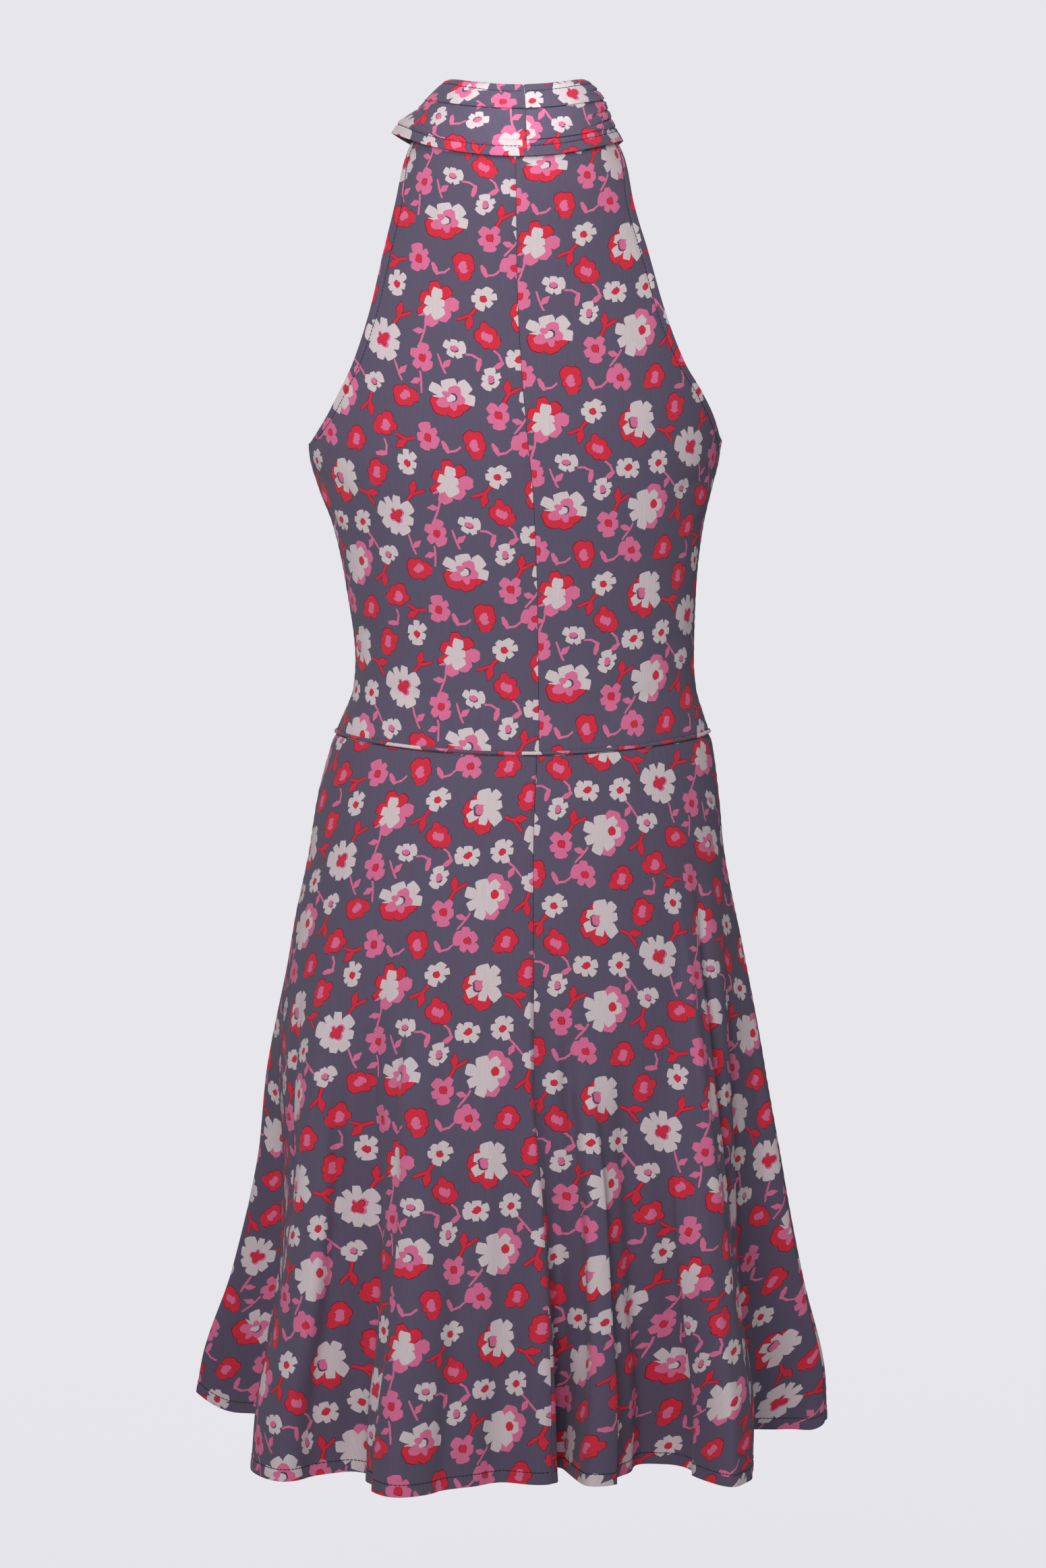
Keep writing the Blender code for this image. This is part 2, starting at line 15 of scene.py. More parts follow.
import bpy
import numpy as np
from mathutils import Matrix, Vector


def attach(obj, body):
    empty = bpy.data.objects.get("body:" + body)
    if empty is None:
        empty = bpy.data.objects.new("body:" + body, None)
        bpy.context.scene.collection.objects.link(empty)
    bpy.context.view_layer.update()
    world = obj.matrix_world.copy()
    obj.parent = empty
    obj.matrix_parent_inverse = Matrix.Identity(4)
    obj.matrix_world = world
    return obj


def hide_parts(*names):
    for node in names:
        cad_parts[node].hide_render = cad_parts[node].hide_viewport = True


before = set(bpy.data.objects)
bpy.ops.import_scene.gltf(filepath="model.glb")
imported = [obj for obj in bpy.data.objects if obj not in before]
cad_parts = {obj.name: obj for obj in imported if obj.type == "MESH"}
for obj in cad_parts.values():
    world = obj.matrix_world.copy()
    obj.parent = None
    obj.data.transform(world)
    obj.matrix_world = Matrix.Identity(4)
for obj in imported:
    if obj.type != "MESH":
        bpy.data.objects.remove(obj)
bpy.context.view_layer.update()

LOG = logging.getLogger("halter_dress")

METRES_PER_MM = 0.001
FULL_TURN = 360.0
ROOT_BODY = "root"
UV_NAME = "cloth"
FLOAT, VECTOR, COLOUR = "NodeSocketFloat", "NodeSocketVector", "NodeSocketColor"

Array = np.ndarray
Colour = tuple[float, float, float, float]
Triple = tuple[float, float, float]
Line = tuple[Array, Array]
Surface = Callable[[Array, Array], Array]
EdgeAngle = Callable[[Array], Array]
Material = bpy.types.Material
Socket = bpy.types.NodeSocket
Tree = bpy.types.NodeTree


def srgb(red: int, green: int, blue: int) -> Colour:
    """Turns a colour given from 0 to 255 into linear light with full opacity."""
    shares = [part / 255.0 for part in (red, green, blue)]
    return (*(part / 12.92 if part <= 0.04045 else ((part + 0.055) / 1.055) ** 2.4 for part in shares), 1.0)


def table(kind: type, *rows: Sequence[float]) -> tuple:
    """Makes a table of one kind of row from plain numbers, in the order of the kind's columns."""
    return tuple(kind(*map(float, row)) for row in rows)


# Rows of the tables


@dataclass(frozen=True)
class Section:
    """Level section of the filled-out form: its middle in X, half width, and depths back and front."""

    z: float
    middle: float
    half: float
    back: float
    front: float


@dataclass(frozen=True)
class ArmholeRow:
    """How far the armhole edges stand from the body's axis at one level, at -X and at +X."""

    z: float
    left: float
    right: float


@dataclass(frozen=True)
class SeamRow:
    """Where the centre back seam of the bodice stands in X at one level."""

    z: float
    x: float


@dataclass(frozen=True)
class Fold:
    """Crest or trough of the skirt: its angle, its place on the hem and the level where it starts."""

    angle: float
    x: float
    y: float
    starts: float


@dataclass(frozen=True)
class HemRise:
    """Place where the hem hangs higher than the rest: its angle, half angle and height."""

    angle: float
    half_angle: float
    rise: float


@dataclass(frozen=True)
class CollarLevel:
    """Level of the collar, 0 at its top edge and 1 at its lower edge: reach to each side."""

    level: float
    left: float
    right: float
    back: float
    front: float


@dataclass(frozen=True)
class Tuck:
    """Level pleat of the collar: the cloth above its edge hangs over the cloth below."""

    level: float
    middle_angle: float
    half_angle: float
    depth: float


@dataclass(frozen=True)
class Gather:
    """Gathered crease of the collar, from one side towards the back."""

    side_level: float
    inner_level: float
    inner_angle: float
    depth: float
    side_angle: float = 104.0


@dataclass(frozen=True)
class Crease:
    """Soft crease: its two ends, its half width and its height, less than 0 for a trough.

    A lap of 1 makes it a fold that drops steeply on its +X side, and -1 one that drops on its -X side.
    """

    angle: float
    z: float
    end_angle: float
    end_z: float
    width: float
    height: float
    lap: float = 0.0


@dataclass(frozen=True)
class BeadPoint:
    """Corner of the piping's section: how far out of the bodice and how far up."""

    out: float
    up: float


# Curves


def column_of(rows: Sequence[object], key: str, name: str, at: Array) -> Array:
    """Reads a named column between its rows, as a smooth curve that never swings past them.

    Args:
        rows: table rows.
        key: name of the column that orders the rows.
        name: name of the column to read.
        at: key values.

    Returns:
        Column values, held level past the table's ends.
    """
    ordered = sorted(rows, key=lambda row: getattr(row, key))
    keys = np.array([getattr(row, key) for row in ordered])
    values = np.array([getattr(row, name) for row in ordered])
    climbs = np.diff(values) / np.diff(keys)
    slopes = np.zeros_like(values)
    before, after = climbs[:-1], climbs[1:]
    same_way = before * after > 0
    product = np.where(same_way, 2.0 * before * after, 0.0)
    slopes[1:-1] = product / np.where(same_way, before + after, 1.0)
    slopes[0], slopes[-1] = climbs[0], climbs[-1]
    return hermite(keys, values, slopes, np.asarray(at, dtype=float))


def hermite(keys: Array, values: Array, slopes: Array, at: Array) -> Array:
    """Cubic curve through values with the given slopes.

    Args:
        keys: rising key values.
        values: values at the keys.
        slopes: slopes at the keys.
        at: where to read the curve.

    Returns:
        The curve's values there.
    """
    row = np.clip(np.searchsorted(keys, at, side="right") - 1, 0, len(keys) - 2)
    span = keys[row + 1] - keys[row]
    t = np.clip((at - keys[row]) / span, 0.0, 1.0)
    rise = t * t * (3.0 - 2.0 * t)
    line = values[row] * (1.0 - rise) + values[row + 1] * rise
    return line + slopes[row] * t * (1.0 - t) ** 2 * span + slopes[row + 1] * t * t * (t - 1.0) * span


def bump(distance: Array) -> Array:
    """Soft hill: 1 where distance is 0, and 0 from 1 on."""
    return np.cos(np.clip(np.abs(distance), 0.0, 1.0) * math.pi / 2.0) ** 2


def hill(distance: Array) -> Array:
    """Bell curve: 1 where distance is 0, and almost 0 from 2 on."""
    return np.exp(-(distance ** 2))


def ease(share: Array) -> Array:
    """Smooth step from 0 to 1."""
    share = np.clip(share, 0.0, 1.0)
    return share * share * (3.0 - 2.0 * share)


def turned(degrees: Array, middle: float) -> Array:
    """Signed angle from middle to degrees, between -180 and 180."""
    return (degrees - middle + FULL_TURN / 2.0) % FULL_TURN - FULL_TURN / 2.0


def run_of(points: Array) -> Array:
    """Length along a line of points, from its first one."""
    return np.concatenate([[0.0], np.cumsum(np.linalg.norm(np.diff(points, axis=0), axis=-1))])


def lengths_over(grid: Array) -> tuple[Array, Array]:
    """Measures how far the points of a grid lie from two of its edges, over the cloth.

    Args:
        grid: points, last axis X, Y, Z.

    Returns:
        Distances from the first column, and distances from the first row.
    """
    across = np.linalg.norm(np.diff(grid, axis=1), axis=-1)
    fall = np.linalg.norm(np.diff(grid, axis=0), axis=-1)
    along = np.concatenate([np.zeros((len(grid), 1)), np.cumsum(across, axis=1)], axis=1)
    return along, np.concatenate([np.zeros((1, grid.shape[1])), np.cumsum(fall, axis=0)], axis=0)


# The dress's form, as in the part's source


@dataclass(frozen=True)
class DressForm:
    """The filled-out form that every cut piece lies on."""

    collar_top: float = 46.0
    collar_top_dip: float = 7.0
    collar_low_side: float = 2.0
    collar_low_dip: float = 16.0
    collar_low_rounding: float = 1.8
    bodice_tucked_in: float = 6.0
    underarm: float = -222.0
    underarm_reach: float = 0.05
    waist_side: float = -434.0
    waist_dip_back: float = 10.5
    waist_dip_front: float = 6.0
    hem: float = -960.0
    seam_gap: float = 0.3
    fold_growth: float = 1.35
    front_peeks_out: float = 2.0
    front_peek_starts: float = -150.0
    front_peek_grows_over: float = 30.0
    angle_step: float = 0.01
    level_step: float = 0.01
    settling_rounds: int = 5
    sections: tuple[Section, ...] = table(
        Section,
        (14, -2.5, 68, 60, 60), (2, -2.5, 75.5, 64, 63), (-4, -2.5, 78.5, 66, 65), (-10, -2, 82, 68, 67),
        (-16, -2, 86, 71, 69), (-45, -2, 111, 86, 79), (-84, -1, 133, 99, 91), (-123, 0, 146, 106, 107),
        (-162, 0, 152, 108, 120), (-201, -1, 153, 107, 124), (-228, -2.5, 151.5, 104, 120),
        (-250, -2, 146, 100, 114), (-280, 0.2, 137, 94, 105), (-320, 2.2, 130.2, 86, 95),
        (-380, 5, 125.6, 79, 86), (-400, 5, 127.2, 79.5, 85), (-420, 4, 134, 82, 86), (-440, 3, 141, 86, 89),
        (-481, 0.3, 149.3, 97, 97), (-521, -1, 154.5, 105, 103), (-602, -2, 171.5, 118, 112),
        (-683, -3, 187, 128, 122), (-765, 0, 198, 137, 132), (-847, -1, 214, 145, 141),
        (-920, -4, 233, 151, 149), (-960, -6, 236, 153, 152),
    )
    armhole: tuple[ArmholeRow, ...] = table(
        ArmholeRow,
        (14, 66, 62), (2, 75.5, 71), (-5, 79.5, 75), (-16, 83, 78.5), (-45, 88, 83), (-84, 97, 94),
        (-123, 106, 105), (-162, 119, 120.5), (-181, 128.5, 132.5), (-201, 139.5, 143), (-222, 154, 150),
    )
    centre_back: tuple[SeamRow, ...] = table(
        SeamRow, (0, -1.5), (-105, -0.5), (-178, 3.4), (-214, 6.8), (-258, 11), (-327, 14), (-445, 15.5)
    )
    hem_rises: tuple[HemRise, ...] = table(HemRise, (258, 7.5, 15), (92, 6, 8), (70, 14, 4))
    folds: tuple[Fold, ...] = table(
        Fold,
        (-90, -192, 42, -560), (-72, -186, -44, -560), (-56, -193, -122, -560), (-48, -168, -157, -600),
        (-38, -122, -128, -640), (-30, -109, -160, -600), (-20, -84, -201, -600), (-2, -14, -158, -640),
        (4.5, 21, -160, -680), (8.5, 29, -120, -680), (15, 54, -168, -660), (30, 107, -107, -680),
        (43, 152, -172, -600), (52, 170, -122, -520), (66, 163, -60, -520), (78, 176, -8, -520),
        (90, 232, 0, -540), (103, 214, 60, -560), (117, 192, 124, -600), (128, 146, 108, -640),
        (144, 110, 178, -590), (159, 62, 130, -650), (174, 12, 184, -610), (189, -38, 136, -680),
        (204, -90, 186, -600), (220, -130, 126, -640), (232, -184, 150, -580), (246, -204, 96, -560),
        (258, -249, 58, -560),
    )

    def section(self, name: str, z: Array) -> Array:
        """Reads one column of the sections at the given levels."""
        return column_of(self.sections, "z", name, z)

    def around_hem(self, name: str, degrees: Array) -> Array:
        """Reads a column of the folds round the whole hem as a smooth closed curve.

        Args:
            name: name of the column.
            degrees: angles.

        Returns:
            Column values.
        """
        angles = np.array([fold.angle for fold in self.folds])
        values = np.array([getattr(fold, name) for fold in self.folds])
        angles = np.concatenate([angles[-2:] - FULL_TURN, angles, angles[:2] + FULL_TURN])
        values = np.concatenate([values[-2:], values, values[:2]])
        slopes = np.zeros_like(values)
        slopes[1:-1] = (values[2:] - values[:-2]) / (angles[2:] - angles[:-2])
        first = self.folds[0].angle
        return hermite(angles, values, slopes, (np.asarray(degrees) - first) % FULL_TURN + first)

    def hem_level(self, degrees: Array) -> Array:
        """Level of the hem's edge, which rises at the outer corners."""
        return self.hem + sum(row.rise * bump(turned(degrees, row.angle) / row.half_angle) for row in self.hem_rises)

    def smooth(self, degrees: Array, z: Array) -> Array:
        """Points of the form before any fold.

        Args:
            degrees: angles.
            z: levels.

        Returns:
            Points in millimetres, last axis X, Y, Z.
        """
        angle = np.radians(degrees)
        depth = np.where(np.cos(angle) > 0.0, self.section("back", z), self.section("front", z))
        x = self.section("middle", z) + self.section("half", z) * np.sin(angle)
        return np.stack([x, -depth * np.cos(angle), z + 0.0 * x], axis=-1)

    def body(self, degrees: Array, z: Array) -> Array:
        """Outer surface of the dress below the collar, with the skirt's folds.

        Args:
            degrees: angles.
            z: levels.

        Returns:
            Points in millimetres, last axis X, Y, Z.
        """
        degrees, z = np.broadcast_arrays(np.asarray(degrees, dtype=float), np.asarray(z, dtype=float))
        points = self.smooth(degrees, z)
        at_hem = self.smooth(degrees, np.full_like(z, self.hem))
        starts = self.around_hem("starts", degrees)
        growth = np.maximum((starts - z) / (starts - self.hem), 0.0) ** self.fold_growth
        points[..., 0] += growth * (self.around_hem("x", degrees) - at_hem[..., 0])
        points[..., 1] += growth * (self.around_hem("y", degrees) - at_hem[..., 1])
        return points

    def waist(self, degrees: Array) -> Array:
        """Level of the waist seam, which dips at the centre back and front."""
        turn = np.cos(np.radians(degrees))
        return self.waist_side - np.where(turn > 0.0, self.waist_dip_back, self.waist_dip_front) * turn ** 2

    def collar_low(self, degrees: Array) -> Array:
        """Level of the collar's lower edge, lowest at the centre back and front."""
        return self.collar_low_side - self.collar_low_dip * (
            np.abs(np.cos(np.radians(degrees))) ** self.collar_low_rounding)

    def bodice_level(self, angles: Array, down: Array) -> Array:
        """Level of a bodice point: down is 0 at the top edge, behind the collar, and 1 at the waist seam."""
        top = self.collar_low(angles) + self.bodice_tucked_in
        return top + (self.waist(angles) + 0.5 * self.seam_gap - top) * down

    def armhole_angle(self, z: Array, right_side: bool, front: bool) -> Array:
        """Angle where a bodice panel ends at one level: its armhole edge, and the side seam below it.

        Args:
            z: levels.
            right_side: True at +X.
            front: True for the front panel.

        Returns:
            Angle from the centre back or, for the front, from the centre front, up to 90.
        """
        edge = column_of(self.armhole, "z", "right" if right_side else "left", z)
        if front:
            grown = np.clip((self.front_peek_starts - z) / self.front_peek_grows_over, 0.0, 1.0)
            edge = edge + self.front_peeks_out * grown
        middle = self.section("middle", z) * (1.0 if right_side else -1.0)
        angle = np.degrees(np.arcsin(np.clip((edge - middle) / self.section("half", z), 0.0, 1.0)))
        return np.where(z <= self.underarm + self.underarm_reach, 90.0, angle)

    def inset(self, degrees: Array, z: Array, way: float) -> Array:
        """Moves a seam's angle by half the gap between two pieces.

        Args:
            degrees: the seam's angle.
            z: levels.
            way: 1 for the piece ahead of the seam and -1 for the piece behind it.

        Returns:
            Angle of that piece's edge.
        """
        ahead, behind = self.body(degrees + self.angle_step, z), self.body(degrees - self.angle_step, z)
        reach = np.linalg.norm(ahead - behind, axis=-1) / (2.0 * self.angle_step)
        return degrees + way * 0.5 * self.seam_gap / reach

    def centre_back_angle(self, z: Array) -> Array:
        """Angle of the bodice's leaning centre back seam."""
        x = column_of(self.centre_back, "z", "x", z)
        return np.degrees(np.arcsin((x - self.section("middle", z)) / self.section("half", z)))

    def settled(self, edge_angle: EdgeAngle, down: Array) -> Array:
        """Angle of a panel's edge at each row, once its angle and its level agree.

        Args:
            edge_angle: function of level for the edge.
            down: the rows, 0 at the top edge and 1 at the waist seam.

        Returns:
            Angles.
        """
        angle = edge_angle(self.bodice_level(np.full_like(down, 90.0), down))
        for _ in range(self.settling_rounds):
            angle = edge_angle(self.bodice_level(angle, down))
        return angle

    def normals(self, surface: Surface, across: Array, down: Array, step_down: float) -> Array:
        """Unit vectors that point out of a surface.

        Args:
            surface: function of angle and of level.
            across: angles.
            down: levels, in the surface's own measure.
            step_down: small step in that measure, with the sign that leads down the dress.

        Returns:
            Array of vectors, one for each point.
        """
        along = surface(across + self.angle_step, down) - surface(across - self.angle_step, down)
        fall = surface(across, down + step_down) - surface(across, down - step_down)
        out = np.cross(fall, along)
        return out / np.linalg.norm(out, axis=-1, keepdims=True)


# Creases, listed one by one


@dataclass(frozen=True)
class CreaseSet:
    """Soft creases of the bodice and the skirt, uneven in length, depth and spacing."""

    falling: tuple[Crease, ...] = table(
        Crease,
        # Skirt back, from the -X side to the +X side
        (-66, -600, -64, -975, 9, -5.5), (-52, -520, -55, -900, 12, 2.5), (-44, -640, -43, -970, 8, -6),
        (-35, -570, -34, -975, 9.5, -7.5), (-25, -590, -25.5, -975, 9, 4.6, -1), (-16, -560, -15, -860, 9, -3),
        (-12, -700, -11, -975, 9, -4.6), (-6, -600, -6, -975, 8, 2.4), (3, -560, 5, -975, 8, 5.8, 1),
        (12, -600, 13, -940, 6.5, -7.5), (17.5, -660, 18, -975, 8, 7, 1), (25, -640, 26, -975, 9, -9),
        (36, -720, 36.5, -975, 8, 5.2, -1), (47, -500, 48, -975, 6, 2.6), (58, -500, 60, -940, 10, -8),
        (72, -560, 72, -975, 9, -5), (84, -620, 84, -975, 8, -3),
        # Skirt front, much the same
        (97, -560, 98, -975, 9, 2.4), (110, -640, 109, -975, 8, -2.6), (122, -540, 122, -900, 10, -2.6),
        (136, -600, 137, -975, 8, 2.2), (151, -560, 152, -975, 9, -2.8), (166, -680, 165, -975, 7, 2),
        (181, -560, 181, -930, 9, -2.6), (196, -620, 197, -975, 8, 2.4), (212, -540, 211, -975, 9, -2.4),
        (227, -640, 226, -975, 8, 2.2), (240, -560, 240, -975, 10, -3), (251, -600, 252, -975, 8, 2),
    )
    crossing: tuple[Crease, ...] = table(
        Crease,
        # Small of the back, just above the waist seam
        (-62, -398, -22, -405, 6, -1.1), (-50, -412, 2, -421, 5, 0.9), (16, -408, 66, -399, 6, -1.1),
        (24, -424, 60, -417, 5, 0.8), (-84, -352, -48, -366, 7, -1), (50, -370, 84, -354, 7, -1),
        # Drag lines from the underarms
        (-86, -236, -48, -262, 7, -1.5), (-86, -252, -58, -286, 6, 1), (48, -258, 86, -234, 7, -1.5),
        (58, -284, 86, -252, 6, 1), (94, -236, 126, -222, 8, -1.6), (234, -222, 266, -236, 8, -1.6),
        # Front waist
        (112, -402, 160, -411, 6, -1.1), (196, -414, 248, -403, 6, -1.1), (150, -386, 205, -390, 7, 0.9),
    )
    soft_ends: float = 0.3
    lap_reach: float = 2.4
    lap_drop: float = 0.38
    ditch_depth: float = 0.55
    ditch_place: float = 1.5
    ditch_width: float = 1.1

    def lift(self, form: DressForm, degrees: Array, z: Array) -> Array:
        """How far the creases raise the cloth.

        Args:
            form: the dress's form.
            degrees: angles of the points.
            z: their levels.

        Returns:
            Height in millimetres, out of the surface.
        """
        total = np.zeros(np.broadcast(degrees, z).shape)
        reach = form.section("half", z) * math.pi / 180.0
        for falls, creases in ((True, self.falling), (False, self.crossing)):
            for crease in creases:
                angles = turned(degrees, crease.angle)
                far = float(turned(np.array(crease.end_angle), crease.angle))
                share = (crease.z - z) / (crease.z - crease.end_z) if falls else angles / far
                away = (angles - far * share) * reach if falls else (
                    z - (crease.z + (crease.end_z - crease.z) * share))
                ends = ease(share / self.soft_ends)
                if not falls or crease.end_z > form.hem:
                    ends = ends * ease((1.0 - share) / self.soft_ends)
                total += crease.height * ends * self.profile(away / crease.width, crease.lap)
        return total

    def profile(self, away: Array, lap: float) -> Array:
        """Section of a crease: a soft hill, or a fold with one gentle and one steep side and a ditch beyond.

        Args:
            away: distance from the crease's line, in half widths.
            lap: 0 for a hill, and 1 or -1 for a fold that drops to that side.

        Returns:
            Share of the crease's height.
        """
        if not lap:
            return hill(away)
        away = away * lap
        fold = np.where(away < 0.0, hill(away / self.lap_reach), hill(away / self.lap_drop))
        ditch = self.ditch_depth * hill((away - self.ditch_place) / self.ditch_width)
        return fold - ditch * (away > 0.0) * ease(away)


# Meshes of cloth


def place_object(name: str, data: bpy.types.ID) -> bpy.types.Object:
    """Puts data into the scene as an object at the origin.

    Args:
        name: the object's name.
        data: its mesh, lamp or camera.

    Returns:
        The object.
    """
    made = bpy.data.objects.new(name, data)
    bpy.context.scene.collection.objects.link(made)
    return made


def stand_for(piece: bpy.types.Object, node: str | None = None) -> bpy.types.Object:
    """Says which body a piece rides on and the node that it takes the place of.

    Args:
        piece: the visible piece.
        node: the solid's node, if the piece stands for one.

    Returns:
        The same piece.
    """
    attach(piece, ROOT_BODY)
    if node:
        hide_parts(node)
    LOG.info("%s: %d faces", piece.name, len(piece.data.polygons))
    return piece


@dataclass
class ClothMesh:
    """A closed thin shell: a grid of outer points, a grid of inner points, and its own flat cut as UV."""

    outer: Array
    inner: Array
    flat_uv: Array
    sharp_angle: float = 60.0

    @staticmethod
    def grid_normals(grid: Array) -> Array:
        """Unit normals of a grid of points, pointing out of the dress."""
        out = np.cross(np.gradient(grid, axis=0), np.gradient(grid, axis=1))
        return out / np.maximum(np.linalg.norm(out, axis=-1, keepdims=True), 1e-9)

    def build(self, name: str, outside: Material, inside: Material) -> bpy.types.Object:
        """Makes the mesh object.

        Args:
            name: the piece's name.
            outside: material of the right side.
            inside: material of the wrong side.

        Returns:
            The new object, at the origin.
        """
        rows, columns = self.outer.shape[:2]
        count = rows * columns
        points = np.concatenate([self.outer.reshape(-1, 3), self.inner.reshape(-1, 3)]) * METRES_PER_MM
        at = np.arange(count).reshape(rows, columns)
        a, b, c, d = at[:-1, :-1], at[1:, :-1], at[1:, 1:], at[:-1, 1:]
        right_side = np.stack([a, b, c, d], axis=-1).reshape(-1, 4)
        wrong_side = np.stack([a, d, c, b], axis=-1).reshape(-1, 4) + count
        edges = (at[0, :], at[-1, ::-1], at[::-1, 0], at[:, -1])
        rims = [np.stack([edge[:-1], edge[1:], edge[1:] + count, edge[:-1] + count], axis=-1) for edge in edges]
        faces = np.concatenate([right_side, wrong_side, *rims])
        slots = np.zeros(len(faces), dtype=np.int32)
        slots[len(right_side):len(right_side) + len(wrong_side)] = 1
        mesh = bpy.data.meshes.new(name)
        mesh.vertices.add(len(points))
        mesh.vertices.foreach_set("co", points.astype(np.float32).ravel())
        mesh.loops.add(faces.size)
        mesh.loops.foreach_set("vertex_index", faces.astype(np.int32).ravel())
        mesh.polygons.add(len(faces))
        mesh.polygons.foreach_set("loop_start", np.arange(0, faces.size, 4, dtype=np.int32))
        mesh.update(calc_edges=True)
        mesh.polygons.foreach_set("material_index", slots)
        uv = mesh.uv_layers.new(name=UV_NAME)
        flat = np.concatenate([self.flat_uv.reshape(-1, 2)] * 2)[faces.ravel()] * METRES_PER_MM
        uv.data.foreach_set("uv", flat.astype(np.float32).ravel())
        mesh.materials.append(outside)
        mesh.materials.append(inside)
        mesh.validate()
        mesh.shade_smooth()
        mesh.set_sharp_from_angle(angle=math.radians(self.sharp_angle))
        return place_object(name, mesh)


class EdgeKind(Enum):
    """How the edge of a cut piece is finished."""

    SEAM = "seam"
    TURNED = "turned"
    HIDDEN = "hidden"


@dataclass(frozen=True)
class Stitching:
    """Sizes of the sewing that shows."""

    armhole_turning: float = 6.5
    hem_turning: float = 8.5
    collar_top_turning: float = 6.4
    collar_low_turning: float = 7.6
    pitch: float = 3.0
    length: float = 2.5
    thread: float = 0.30
    stands_out: float = 0.1
    seam_depth: float = 0.9
    seam_width: float = 1.4
    groove_depth: float = 0.6
    groove_width: float = 0.9
    turning_rise: float = 0.45
    turning_slope: float = 1.5
    pucker: float = 0.16
    pucker_place: float = 3.0
    seam_waves: Triple = (0.9, 1.7, 0.13)
    turned_waves: Triple = (1.1, 2.1, 0.11)
    turned_wave_place: float = 0.6
    turned_wave_width: float = 0.5

    def puckers(self, along: Array, rate: float, sway: float, sway_rate: float) -> Array:
        """Uneven small waves along a line of sewing."""
        return self.pucker * np.sin(along * rate + sway * np.sin(along * sway_rate))

    def seam_relief(self, distance: Array, along: Array) -> Array:
        """Valley where two pieces are sewn together, with slight puckers.

        Args:
            distance: distance from the seam.
            along: distance along it.

        Returns:
            Height out of the surface.
        """
        valley = -self.seam_depth * hill(distance / self.seam_width)
        ripple = self.puckers(along, *self.seam_waves)
        return valley + ripple * hill((distance - self.pucker_place) / self.pucker_place)

    def turned_relief(self, distance: Array, along: Array, turning: float) -> Array:
        """Doubled edge with a sunk line of stitches at the end of its turning.

        Args:
            distance: distance from the edge.
            along: distance along it.
            turning: width that is turned in.

        Returns:
            Height out of the surface.
        """
        double = self.turning_rise * ease((turning - distance) / self.turning_slope)
        groove = -self.groove_depth * hill((distance - turning) / self.groove_width)
        away = (distance - self.turned_wave_place * turning) / (self.turned_wave_width * turning)
        return double + groove + self.puckers(along, *self.turned_waves) * hill(away)


